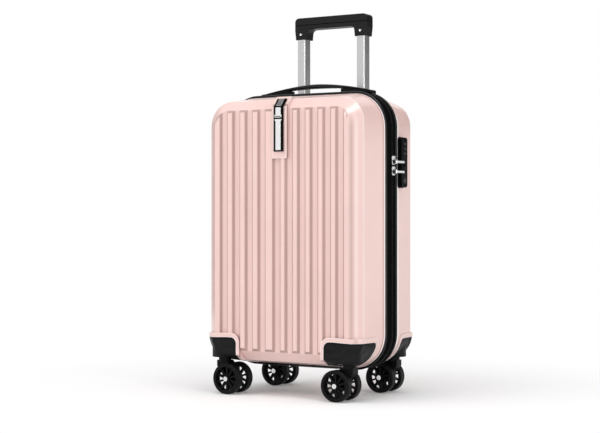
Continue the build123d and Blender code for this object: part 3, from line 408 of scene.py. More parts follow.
def band_stations():
    """Stations round the case: a point of the band's edge, one of the rim's and the way out."""
    turn_steps, run_steps = 18, 16
    middle, *sizes = case_sizes()
    found = []
    for quarter in range(4):
        for k in range(turn_steps + 1):
            way = corner_way(quarter, k / turn_steps)
            found.append([corner_point(size, middle, quarter, way) for size in sizes] + [way])
        after = (quarter + 1) % 4
        starts = [corner_point(size, middle, quarter, way) for size in sizes]
        ends = [corner_point(size, middle, after, way) for size in sizes]
        for k in range(1, run_steps):
            pair = [start.lerp(end, k / run_steps) for start, end in zip(starts, ends)]
            found.append(pair + [way])
    return found


def even_places(step, out=0.0):
    """Evenly spaced points round the band, each with its direction out and along."""
    turn_steps = 45
    middle, band, _ = case_sizes()
    line = []
    for quarter in range(4):
        for k in range(turn_steps + 1):
            way = corner_way(quarter, k / turn_steps)
            line.append((corner_point(band, middle, quarter, way, out), way))
    line.append(line[0])
    lengths = [(b[0] - a[0]).length for a, b in zip(line, line[1:])]
    count = round(sum(lengths) / step)
    pace = sum(lengths) / count
    found, walked, index = [], 0.0, 0
    for k in range(count):
        goal = k * pace
        while walked + lengths[index] < goal:
            walked += lengths[index]
            index += 1
        share = (goal - walked) / max(lengths[index], 1e-9)
        (a, way_a), (b, way_b) = line[index], line[index + 1]
        way = way_a.lerp(way_b, share).normalized()
        found.append((a.lerp(b, share), way, Vector((-way.z, 0, way.x))))
    return found


def sweep_band(name, profile, finish, body):
    """Closed ring round the case. Each profile point is (share towards the rim, way out, y)."""
    stations = band_stations()

    def place(i, j):
        edge, rim, way = stations[i]
        share, out, y = profile[j]
        return edge.lerp(rim, share) + way * out + Y * y

    form = Form()
    form.grid(len(stations), len(profile), place, closed=True, looped=True)
    return form.piece(name, finish, "tape", body)


def add_stitches(form, step, out, y):
    """One row of stitches round the band at depth y."""
    thread = 0.00024
    radii = [thread * 0.5, thread, thread, thread, thread * 0.5]
    for point, way, along in even_places(step, out):
        heart = point + Y * y
        long = step * 0.36
        shares = (-1, -0.5, 0, 0.5, 1)
        spine = [heart + along * (long * t) - way * (thread * 1.1 * t * t) for t in shares]
        form.tube(spine, radii, Y, 5)


# ---------------------------------------------------------------- finishes
def shell_finish():
    """Moulded shell, with painted shade in grooves and painted highlights on rim and edges."""
    look = bpy.context.scene.case_look
    skin = Finish(
        "rose_shell", ior=1.5, specular_ior_level=0.4, coat_weight=0.3, coat_roughness=0.1
    )
    where = skin.place()
    x, y, z = skin.parts(where)
    low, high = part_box("front_shell")
    side, fold, up = x.size(), y.size(), (z - (low.z + high.z) / 2).size()
    cloud = skin.grain(where, 9.0, 3.0)
    fine = skin.grain(where, 260.0, 2.0)
    peel = skin.grain(where, 420.0, 1.0)

    deep = tint(look.shell_color, 0.96)
    # Darker colour of the painted shade
    shade_color = tuple(c * k for c, k in zip(look.shell_color, (0.46, 0.38, 0.37)))
    # Paler colour of the painted highlights, which on the edges also stands for scuffing
    highlighted_and_scuffed = tuple(c + (1 - c) * 0.75 for c in look.shell_color)
    # Hollows get painted shade, and convex edges a painted highlight that also stands for scuffing
    sunk = 1 - skin.nearness(0.0065)
    edge = 1 - skin.nearness(0.0016, inside=True)
    plain = skin.blend(cloud.smooth(0.3, 0.7), deep, look.shell_color)
    highlit_scuffed_edges = skin.blend((edge * 4.0 - 0.25).smooth(0.0, 1.0) * look.edge_light, plain, highlighted_and_scuffed)

    # Painted shade down the grooves and on their sloped sides
    depth = ((FACE_Y - fold) / GROOVE_DEPTH).most(0.0).least(1.0)
    slope = (depth * (1 - depth) * 5.0).least(1.0) * (FACE_HALF_W - 0.0005 - side).over(0)
    shade = (sunk * look.groove_shade + slope * look.slope_shade).least(1.0)
    bevel = (FACE_Y - fold) / (FACE_Y - CREASE_Y)
    flank = side.over(FACE_HALF_W + 0.0002) * fold.over(CREASE_Y + 0.0005)
    flank = flank * (1 - up.smooth(0.17, 0.22))
    # Across the bevel at the flanks: painted shade, then a painted highlight
    hollow = bevel.hump(0.24, 0.2) * flank
    swell = bevel.hump(0.55, 0.16) * flank
    # Painted highlights on the rim and along the crease
    rim = 1 - fold.smooth(*RIM_Y)
    crease = fold.hump(CREASE_Y, 0.0007)
    # Painted shade at the foot of the rim
    foot_shade = fold.hump(FOOT_SHADE_Y, 0.0009)
    # All painted shade, then all painted highlights, both blended into the colour
    shade_amount = (shade + hollow * 0.5 + foot_shade * 1.2).least(1.0)
    light = (rim + crease * 1.3 + swell * 0.4).least(1.2) * look.edge_light
    painted = skin.blend(light, skin.blend(shade_amount, highlit_scuffed_edges, shade_color), highlighted_and_scuffed)
    # Painted shadow: a black strip beside the zip on the front half
    zip_shadow = y.smooth(*ZIP_SHADOW_Y) * (1 - y.over(0.0))
    skin.give(base_color=skin.blend(zip_shadow, painted, look.black_color))
    skin.give(roughness=look.shell_roughness + 0.06 * (fine - 0.5) + 0.03 * (cloud - 0.5))

    ribs = fold.over(FACE_Y - 1.5 * GROOVE_DEPTH)
    on_face = ribs * (FACE_HALF_W - side).over(0) * (FACE_HALF_H - up).over(0)
    softness = look.edge_round - (look.edge_round - look.rib_round) * on_face
    skin.give(normal=skin.relief(peel, 0.00012, 0.3, skin.soft_edges(softness, 8)))
    return skin


def plastic_finish(name, color, roughness, texture, depth, edge=0.0006, shine=0.09, split=None):
    """Moulded plastic with a fine spark-eroded texture, in waves per metre and depth in metres.

    edge is the radius of its edges, and split the height of a joint between two mouldings.
    """
    skin = Finish(name, ior=1.48, specular_ior_level=shine)
    where = skin.place()
    cloud = skin.grain(where, 14.0, 2.0)
    fine = skin.grain(where, texture, 3.0)
    light = tuple(min(1.0, c * 1.5) for c in color)
    plain = skin.blend(cloud * 0.6 + fine * 0.3, color, light)
    rough = roughness + 0.10 * (fine - 0.5) + 0.05 * (cloud - 0.5)
    if split is not None:
        height = skin.parts(where)[2]
        line = 1 - ((height - split).size() / 0.001).smooth(0.6, 1.0)
        plain = skin.blend(line, plain, (0.0, 0.0, 0.0))
        rough = rough + line * 0.5
    skin.give(base_color=plain, roughness=rough)
    skin.give(normal=skin.relief(fine, depth, 0.6, skin.soft_edges(edge)))
    return skin


def metal_finish(name, color, roughness, streak=(1, 1, 1), crevice=0.0, bare=False):
    """Plated or drawn metal. streak stretches the grain, and crevice paints shade in small hollows.

    A bare metal has no grit and keeps its edges as they are.
    """
    skin = Finish(name, metallic=1.0)
    where = skin.place()
    grain = skin.grain(where, 2600.0, 1.0, streak)
    haze = skin.grain(where, 30.0, 2.0)
    plain = skin.blend(grain, tint(color, 0.93), color)
    # Painted shade in small hollows
    if crevice:
        sunk = ((1 - skin.nearness(crevice)) * 2.6).least(1.0)
        plain = skin.blend(sunk, plain, tint(color, 0.06))
    skin.give(base_color=plain, roughness=roughness * (0.75 + 0.35 * grain + 0.2 * haze))
    if not bare:
        skin.give(normal=skin.relief(grain, 0.000004, 0.3, skin.soft_edges(0.0004)))
    return skin


def weave_finish(name, color, pitch, shine=0.1, slant=None):
    """Plain woven cloth. slant holds the shares of x and z that its threads run along."""
    skin = Finish(name, specular_ior_level=shine)
    where = skin.place()
    x, y, z = skin.parts(where)
    if slant:
        a, b = x * slant[0] + z * slant[1], x * slant[1] - z * slant[0]
    else:
        a, b = x + z, y
    turn = 2 * math.pi / pitch
    warp, weft = (a * turn).sine(), (b * turn).sine()
    check = (warp * weft) * 0.5 + 0.5
    threads = warp.size().most(weft.size())
    fuzz = skin.grain(where, 1800.0, 2.0)
    skin.give(base_color=skin.blend(check * 0.7 + fuzz * 0.3, tint(color, 0.55), color))
    skin.give(roughness=0.85 + 0.1 * (fuzz - 0.5))
    height = threads * 0.6 + check * 0.3 + fuzz * 0.2
    skin.give(normal=skin.relief(height, pitch * 0.25, 0.8))
    return skin


# ---------------------------------------------------------------- settings
class CaseLook(bpy.types.PropertyGroup):
    """Colours and sizes of the case's finishes."""

    shell_color: FloatVectorProperty(
        name="Shell colour",
        description="Colour of the two moulded halves",
        default=(0.82, 0.578, 0.537),
        min=0.0,
        max=1.0,
        subtype="COLOR",
    )
    shell_roughness: FloatProperty(
        name="Shell roughness",
        description="How dull the halves are",
        default=0.3,
        min=0.0,
        max=1.0,
    )
    groove_shade: FloatProperty(
        name="Groove shade",
        description="How much deeper the colour is down in the grooves",
        default=0.35,
        min=0.0,
    )
    slope_shade: FloatProperty(
        name="Slope shade",
        description="How much deeper the colour is on the sloped sides of the grooves",
        default=0.8,
        min=0.0,
    )
    # Strength of the painted highlights, which on the edges also stand for scuffing
    edge_light: FloatProperty(
        name="Edge polish",
        description="How much paler the shell is along its rubbed edges",
        default=0.85,
        min=0.0,
    )
    edge_round: FloatProperty(
        name="Edge softness",
        description="Radius that softens the folds round the ribbed face",
        default=0.0026,
        unit="LENGTH",
    )
    rib_round: FloatProperty(
        name="Rib softness",
        description="Radius that softens the edges of the ribs",
        default=0.0009,
        unit="LENGTH",
    )
    black_color: FloatVectorProperty(
        name="Trim colour",
        description="Colour of the moulded black parts",
        default=(0.0065, 0.0065, 0.007),
        min=0.0,
        max=1.0,
        subtype="COLOR",
    )
    lining_color: FloatVectorProperty(
        name="Lining colour",
        description="Colour of the woven lining",
        default=(0.16, 0.15, 0.15),
        min=0.0,
        max=1.0,
        subtype="COLOR",
    )
    tooth_pitch: FloatProperty(
        name="Tooth pitch",
        description="Distance between two teeth of the zip",
        default=0.0021,
        unit="LENGTH",
    )


class CaseStage(bpy.types.PropertyGroup):
    """Camera and light of the studio."""

    azimuth: FloatProperty(
        name="Camera angle",
        description="How far the camera stands to the right of the front",
        default=math.radians(31.39),
        subtype="ANGLE",
    )
    distance: FloatProperty(
        name="Camera distance",
        description="From the case to the camera",
        default=2.652,
        unit="LENGTH",
    )
    height: FloatProperty(
        name="Camera height",
        description="Height of the camera over the floor",
        default=0.32,
        unit="LENGTH",
    )
    lens: FloatProperty(
        name="Focal length",
        description="Focal length for a 36 mm sensor",
        default=88.37,
        unit="CAMERA",
    )
    aim_y: FloatProperty(
        name="Aim",
        description="Depth of the point that the camera turns about",
        default=-0.037,
        unit="LENGTH",
    )
    key_power: FloatProperty(
        name="Key light",
        description="Power of the large light at the front left",
        default=35.5,
        unit="POWER",
    )
    gleam_power: FloatProperty(
        name="Gleam",
        description="Power of the thin light that only shows as a gleam",
        default=9.0,
        unit="POWER",
    )
    high_power: FloatProperty(
        name="High gleam",
        description="Power of the high light that only shows as a gleam",
        default=25.0,
        unit="POWER",
    )
    strip_power: FloatProperty(
        name="Strip light",
        description="Power of the narrow light at the front right",
        default=12.0,
        unit="POWER",
    )
    side_power: FloatProperty(
        name="Side light",
        description="Power of the tall light at the right rear",
        default=4.0,
        unit="POWER",
    )
    top_power: FloatProperty(
        name="Top light",
        description="Power of the light over the case",
        default=16.0,
        unit="POWER",
    )
    fill: FloatProperty(
        name="Fill",
        description="Strength of the even light from all round",
        default=0.62,
    )


# ---------------------------------------------------------------- pieces
class CASE_OT_shells(bpy.types.Operator):
    """Finish of the two moulded halves"""

    bl_idname = "case.shells"
    bl_label = "Shells"

    def execute(self, context):
        dress(shell_finish(), "front_shell", "back_shell")
        return {"FINISHED"}


class CASE_OT_running_gear(bpy.types.Operator):
    """Finishes of the corner guards, forks, wheels and their rivets"""

    bl_idname = "case.running_gear"
    bl_label = "Running gear"

    def execute(self, context):
        black = context.scene.case_look.black_color
        dark = tint(black, 0.7)
        guard = plastic_finish("guard_plastic", black, 0.4, 1500.0, 0.00005, 0.013, shine=0.12)
        fork = plastic_finish("fork_plastic", dark, 0.4, 900.0, 0.00004, edge=0.002)
        wheel = plastic_finish("wheel_plastic", dark, 0.42, 700.0, 0.00004, edge=0.001)
        rivet = metal_finish("rivet", (0.78, 0.78, 0.79), 0.2)
        fixing = metal_finish("zinc_steel", (0.55, 0.55, 0.56), 0.35)
        dress(guard, *matching("corner_guard"))
        dress(fork, *matching("_fork"))
        dress(wheel, *matching("_wheel_a", "_wheel_b"))
        dress(rivet, *matching("_axle"))
        dress(fixing, *matching("caster_fixings"))
        return {"FINISHED"}


class CASE_OT_zip_band(bpy.types.Operator):
    """Piping, woven tapes, coil teeth and fabric hinge of the zip, with its sliders and pulls"""

    bl_idname = "case.zip_band"
    bl_label = "Zip band"

    def execute(self, context):
        black = context.scene.case_look.black_color
        bright = metal_finish("bright_zinc", (0.72, 0.72, 0.73), 0.14, crevice=0.006)
        dress(bright, "zip_sliders", "upper_zip_pull", "lower_zip_pull")
        cloth = weave_finish("zip_tape_cloth", tint(black, 0.5), 0.0011, shine=0.02)
        vinyl = plastic_finish(
            "piping_vinyl", tint(black, 0.4), 0.26, 1800.0, 0.00002, edge=0, shine=0.3
        )
        nylon = plastic_finish("coil_nylon", black, 0.3, 900.0, 0.00002, edge=0, shine=0.16)
        thread = weave_finish("black_thread", tint(black, 2.2), 0.0004, shine=0.05)
        for half, side in SIDES.items():
            body = HALF_BODY[half]
            self.make_piping(half, side, body, vinyl)
            self.make_tape(half, side, body, cloth)
            self.make_teeth(half, side, body, nylon, context.scene.case_look.tooth_pitch)
            self.make_stitches(half, side, body, thread)
        self.make_hinge(cloth)
        return {"FINISHED"}

    def make_piping(self, half, side, body, finish):
        """Corded piping with the web that is tucked into the shell."""
        radius, heart_y, steps = 0.00225, 0.01922, 12
        web_top, web_under = -0.0023, -0.0037
        profile = []
        for k in range(steps + 1):
            turn = math.pi * k / steps
            profile.append((0, radius * math.sin(turn) - radius, heart_y - radius * math.cos(turn)))
        profile += [(1, web_top, 0.0216), (1, web_top, 0.0264)]
        profile += [(1, web_under, 0.0265), (1, web_under, 0.0172), (0, -0.0034, 0.017)]
        profile = [(share, out, side * y) for share, out, y in profile]
        sweep_band(half + "_piping", profile, finish, body)

    def make_tape(self, half, side, body, finish):
        """Woven tape from the piping to the teeth, with a raised edge along the coil."""
        near, far = PARTING_Y + side * 0.00025, side * 0.0171
        edge, ridge = PARTING_Y + side * 0.0041, PARTING_Y + side * 0.0062
        seat, under, lift = -0.00275, -0.0034, side * 0.0006
        waves = ((0, -0.00215), (0.12, -0.0023), (0.3, -0.00218), (0.6, -0.0023), (0.85, -0.00228))
        line = [(out, far + (ridge - far) * share) for share, out in waves]
        line += [(-0.00205, ridge + lift), (-0.0019, ridge), (-0.00195, edge + lift)]
        line += [(-0.0023, edge), (seat, edge - side * 0.0004), (seat, near)]
        line += [(under, near), (under, far)]
        profile = [(0, out, y) for out, y in line]
        tape = sweep_band(half + "_tape", profile, finish, body)
        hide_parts(half + "_zip_tape")

    def make_teeth(self, half, side, body, finish, pitch):
        """Coil teeth that mesh across the parting line, left out at the hinge and the sliders."""
        # (depth behind the tip, way out, radius) along one tooth
        tooth = ((0.0037, -0.0026, 0.00036), (0.0032, -0.0019, 0.0004), (0.0018, -0.00172, 0.0004))
        tooth += ((0.0002, -0.00172, 0.00046), (-0.00045, -0.0021, 0.00042))
        radii = [radius for depth, out, radius in tooth]
        wall_x, slider_gap, slider_half = 0.16, 0.0034, 0.0078
        hinge_low, hinge_high = (corner.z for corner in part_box("hinge_gusset"))
        slider_low, slider_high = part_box("zip_sliders")
        sliders = (slider_low.z + slider_half, slider_high.z - slider_half)
        shift = 0.5 if side > 0 else 0.0
        form = Form()
        for point, way, along in even_places(pitch):
            at_hinge = point.x < -wall_x and hinge_low + 0.01 < point.z < hinge_high - 0.01
            at_slider = point.x > wall_x and min(abs(point.z - z) for z in sliders) < slider_gap
            if at_hinge or at_slider:
                continue
            spot = point + along * (shift * pitch)
            spine = [spot + way * out + Y * (PARTING_Y + side * depth) for depth, out, _ in tooth]
            form.tube(spine, radii, along)
        teeth = form.piece(half + "_teeth", finish, "coil", body)
        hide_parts(half + "_zip_coil")

    def make_stitches(self, half, side, body, finish):
        """Two rows of stitches, beside the piping and beside the teeth."""
        form = Form()
        add_stitches(form, 0.0034, -0.00205, side * 0.0158)
        add_stitches(form, 0.0026, -0.00182, PARTING_Y + side * 0.0055)
        form.piece(half + "_tape_stitches", finish, "tape", body)

    def make_hinge(self, finish):
        """Fabric strip behind the tapes at the hinge."""
        low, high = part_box("hinge_gusset")
        rows, columns = 40, 24
        x = (low.x + high.x) / 2

        def place(i, j):
            y = low.y + (high.y - low.y) * j / columns
            z = low.z + (high.z - low.z) * i / rows
            pleat = 0.0007 * math.exp(-(((y - PARTING_Y) / 0.004) ** 2))
            crinkle = 0.0003 * noise.noise(Vector((y * 60, z * 25, 3.1)))
            return Vector((x + pleat + crinkle, y, z))

        form = Form()
        form.grid(rows, columns, place)
        hinge = form.piece("hinge_strip", finish, "tape", None)
        thicken(hinge, 0.0005)
        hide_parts("hinge_gusset")
        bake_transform(hinge)


class CASE_OT_lock(bpy.types.Operator):
    """The lock with its screws, its numbered dials and its key plug"""

    bl_idname = "case.lock"
    bl_label = "Lock"

    def execute(self, context):
        black = context.scene.case_look.black_color
        body = plastic_finish(
            "lock_plastic", tint(black, 0.3), 0.3, 1200.0, 0.00003, edge=0.001, shine=0.04
        )
        dial = plastic_finish("dial_plastic", tint(black, 0.8), 0.42, 1500.0, 0.00003, shine=0.05)
        key = metal_finish("key_plug", (0.05, 0.05, 0.052), 0.35)
        ink = plastic_finish("dial_ink", (0.3, 0.3, 0.3), 0.5, 3000.0, 0.00001, edge=0)
        dress(body, "lock_housing", "lock_release")
        dress(dial, "number_dial_1", "number_dial_2", "number_dial_3")
        dress(key, "key_cylinder")
        self.make_screws(body)
        self.make_flange(body)
        for number in (1, 2, 3):
            self.make_digits(number, ink)
        return {"FINISHED"}

    def make_screws(self, finish):
        """Two small screws with a round socket in the face of the housing."""
        low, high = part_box("lock_housing")
        head = [(0.0026, -0.0004), (0.0026, 0.0005), (0.0022, 0.0009), (0.0013, 0.001)]
        socket = [(0.00125, 0.001), (0.00125, 0.0001), (0.0003, 0.0)]
        form = Form()
        for z in (low.z + 0.0055, high.z - 0.0045):
            origin = Vector((high.x - 0.0004, (low.y + high.y) / 2 + 0.002, z))
            form.lathe(head + socket, origin, X, Y, 18)
        form.piece("lock_screws", finish, "lock_body", "back", flat=True)

    def make_flange(self, finish):
        """Thin frame with round ends that seats the housing on the shell."""
        low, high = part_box("lock_housing")
        outer = self.round_outline(
            low.y - 0.0024, high.y + 0.0006, low.z - 0.0009, high.z + 0.0009, 0.0062
        )
        inner = self.round_outline(
            low.y + 0.0003, high.y - 0.0004, low.z + 0.0003, high.z - 0.0003, 0.0036
        )
        brow = [(y + (v - y) * 0.3, z + (w - z) * 0.3) for (y, z), (v, w) in zip(outer, inner)]
        back_x, face_x = high.x - 0.0094, high.x - 0.0058
        loops = ((outer, back_x), (outer, face_x - 0.0009), (brow, face_x))
        loops += ((inner, face_x), (inner, back_x))
        form = Form()
        form.rings([[Vector((x, y, z)) for y, z in line] for line, x in loops], caps=0)
        flange = form.piece("lock_flange", finish, "lock_body", "back")
        soften(flange, 0.0002)

    @staticmethod
    def round_outline(y0, y1, z0, z1, corner):
        """Oblong with round corners, as (y, z) pairs."""
        steps = 7
        outline = []
        for quarter, (side, end) in enumerate(QUARTERS):
            y = (y1 if side > 0 else y0) - side * corner
            z = (z1 if end > 0 else z0) - end * corner
            for k in range(steps + 1):
                turn = corner_turn(quarter, k / steps)
                outline.append((y + corner * math.cos(turn), z + corner * math.sin(turn)))
        return outline

    def make_digits(self, number, finish):
        """Plain numbers from 0 to 9 round one dial."""
        low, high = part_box("number_dial_%d" % number)
        heart = (low + high) / 2
        radius = (high.x - low.x) / 2 + 0.00003
        form = Form()
        for digit in range(10):
            flat = self.flat_digit(digit)
            start = len(form.points)
            for v in flat.vertices:
                turn = math.radians(36 * digit) + v.co.x / radius
                spot = Vector((math.cos(turn), math.sin(turn), 0)) * radius
                form.points.append(heart + spot + Z * v.co.y)
            form.faces += [tuple(start + i for i in face.vertices) for face in flat.polygons]
            bpy.data.meshes.remove(flat)
        name = "dial_%d_numbers" % number
        form.piece(name, finish, "dial", "dial_%d" % number, flat=True)

    @staticmethod
    def flat_digit(digit):
        """Flat mesh of one number, centred on its origin."""
        text = bpy.data.curves.new("digit", "FONT")
        text.body = str(digit)
        text.size = 0.0046
        text.align_x = "CENTER"
        text.align_y = "CENTER"
        text.resolution_u = 3
        writer = bpy.data.objects.new("digit", text)
        bpy.context.scene.collection.objects.link(writer)
        graph = bpy.context.evaluated_depsgraph_get()
        flat = bpy.data.meshes.new_from_object(writer.evaluated_get(graph))
        bpy.data.objects.remove(writer)
        bpy.data.curves.remove(text)
        return flat


class CASE_OT_pull_handle(bpy.types.Operator):
    """Finishes of the pull-out handle and its housing"""

    bl_idname = "case.pull_handle"
    bl_label = "Pull-out handle"

    def execute(self, context):
        black = context.scene.case_look.black_color
        tube = metal_finish("satin_tube", (0.61, 0.612, 0.614), 0.37, (1, 1, 0.01), bare=True)
        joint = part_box("grip_cover")[0].z
        soft_black = tint(black, 1.3)
        grip = plastic_finish(
            "grip_plastic", soft_black, 0.42, 1600.0, 0.00006, edge=0.0012, shine=0.14, split=joint
        )
        dark = plastic_finish("button_plastic", tint(black, 5), 0.4, 1600.0, 0.00005)
        steel = metal_finish("plain_steel", (0.5, 0.5, 0.51), 0.3)
        bright = metal_finish("screw_head", (0.85, 0.85, 0.85), 0.14)
        dress(tube, "outer_tubes", "middle_tubes", "inner_tubes")
        dress(grip, "grip_body", "grip_cover", "handle_housing", "handle_foot")
        dress(grip, "middle_guides", "inner_guides")
        dress(dark, "grip_button")
        dress(steel, "lock_plungers", "push_rods")
        dress(bright, "grip_screws")
        self.make_spring(steel)
        return {"FINISHED"}

    def make_spring(self, finish):
        """Return spring in the place of the button's spring."""
        low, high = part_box("button_spring")
        wire, turns, press, steps = 0.00045, 3.5, 0.0043, 84
        heart = (low + high) / 2
        height = high.z - low.z
        radius = (high.y - low.y) / 2 - wire
        spine = []
        for k in range(steps + 1):
            turn = 2 * math.pi * turns * k / steps
            z = low.z + wire + (height - 2 * wire) * k / steps
            x, y = heart.x + radius * math.cos(turn), heart.y + radius * math.sin(turn)
            spine.append(Vector((x, y, z)))
        form = Form()
        form.tube(spine, [wire] * len(spine), Z, 8)
        spring = form.piece("return_spring", finish, "plunger", "inner_stage")
        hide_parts("button_spring")
        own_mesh(spring)


class CASE_OT_carry_handle(bpy.types.Operator):
    """Soft arched carry handle with a ribbed underside, and its mounts"""

    bl_idname = "case.carry_handle"
    bl_label = "Carry handle"

    def execute(self, context):
        dark = tint(context.scene.case_look.black_color, 0.7)
        soft = plastic_finish("soft_grip", dark, 0.42, 1300.0, 0.00006, edge=0, shine=0.3)
        mount = plastic_finish("mount_plastic", dark, 0.4, 1300.0, 0.00006, edge=0.0015)
        dress(mount, "carry_mounts")
        low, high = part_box("carry_handle")
        half = (high.x - low.x) / 2 - 0.0003
        middle_y = (low.y + high.y) / 2
        rows, columns = 120, 36
        top_z, top_fall = high.z - 0.0002, 0.0132
        under_z, under_fall = 0.5541, 0.0054
        half_width, width_loss = 0.0092, 0.0014
        channel_depth, channel_place, channel_width = 0.0005, 0.66, 0.07
        rib_height, rib_pitch, ribs_reach = 0.0005, 0.0062, 0.46

        def place(i, j):
            x = half * (2 * i / rows - 1)
            reach = abs(x) / half
            top = top_z - top_fall * reach**1.75
            under = under_z - under_fall * reach**2
            width = half_width - width_loss * reach**3
            turn = 2 * math.pi * j / columns
            c, s = math.cos(turn), math.sin(turn)
            y = math.copysign(abs(c) ** 0.62, c)
            up = math.copysign(abs(s) ** 0.7, s)
            z = (top + under) / 2 + up * (top - under) / 2
            if s > 0.3:
                channel = math.exp(-(((abs(y) - channel_place) / channel_width) ** 2))
                z -= channel_depth * channel * (1 - reach**6)
            if s < -0.5 and reach < ribs_reach:
                z += rib_height * (1 - math.cos(2 * math.pi * x / rib_pitch)) * (1 - y * y)
            return Vector((x, middle_y + y * width, z))

        form = Form()
        form.grid(rows, columns, place, closed=True, caps=-1)
        handle = form.piece("soft_carry_handle", soft, "strap_handle", "back")
        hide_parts("carry_handle")
        return {"FINISHED"}


class CASE_OT_nameplate(bpy.types.Operator):
    """The bare dark plate with its bright bars and their small clip"""

    bl_idname = "case.nameplate"
    bl_label = "Nameplate"

    def execute(self, context):
        black = context.scene.case_look.black_color
        plate = plastic_finish("plate_plastic", tint(black, 0.3), 0.22, 900.0, 0.00002, shine=0.08)
        bar = metal_finish("bright_bar", (0.88, 0.88, 0.885), 0.2)
        dress(plate, "nameplate_base")
        low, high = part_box("nameplate_base")
        half, thick = 0.0052, 0.0009
        fold_z, slope_y, slope_z = 0.51326, 0.6611, 0.7503
        face, out = Y * low.y, Y * -thick

        # The lower bar with its wide head, and the clip and the short bar over it, as (x, z) pairs
        head = self.mirrored([(half, 0.4874), (half + 0.0018, 0.4893), (half + 0.0018, 0.4912)])
        clip = [(half + 0.002, 0.4992), (half + 0.002, 0.4956), (half + 0.0006, 0.4939)]
        opening = [(half + 0.0008, 0.4992), (half + 0.0008, 0.496), (half + 0.0001, 0.4952)]
        clip = self.mirrored(clip) + self.mirrored(opening)[::-1]
        bottom = low.z + 0.0026
        form = Form()
        form.prism([(-half, bottom), (half, bottom)] + head, face, X, Z, out)
        form.prism(clip, face, X, Z, out * 1.4)
        form.prism(self.oblong(half, 0.4966, fold_z - 0.0014), face, X, Z, out)

        # The upper bar, on the slope of the plate
        along, rise = Vector((0, slope_y, slope_z)), Vector((0, -slope_z, slope_y)) * thick
        reach = (high.z - fold_z) / slope_z - 0.0008
        form.prism(self.oblong(half, 0.0017, reach), face + Z * fold_z, X, along, rise)
        bars = form.piece("bright_bars", bar, "bars", "lid", flat=True)
        soften(bars, 0.00022)
        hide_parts("nameplate_bars")
        return {"FINISHED"}

    @staticmethod
    def mirrored(right):
        """The right side of an outline, followed by its left side."""
        return right + [(-u, v) for u, v in reversed(right)]

    @staticmethod
    def oblong(half, low, high):
        """Outline of a bar."""
        return [(-half, low), (half, low), (half, high), (-half, high)]


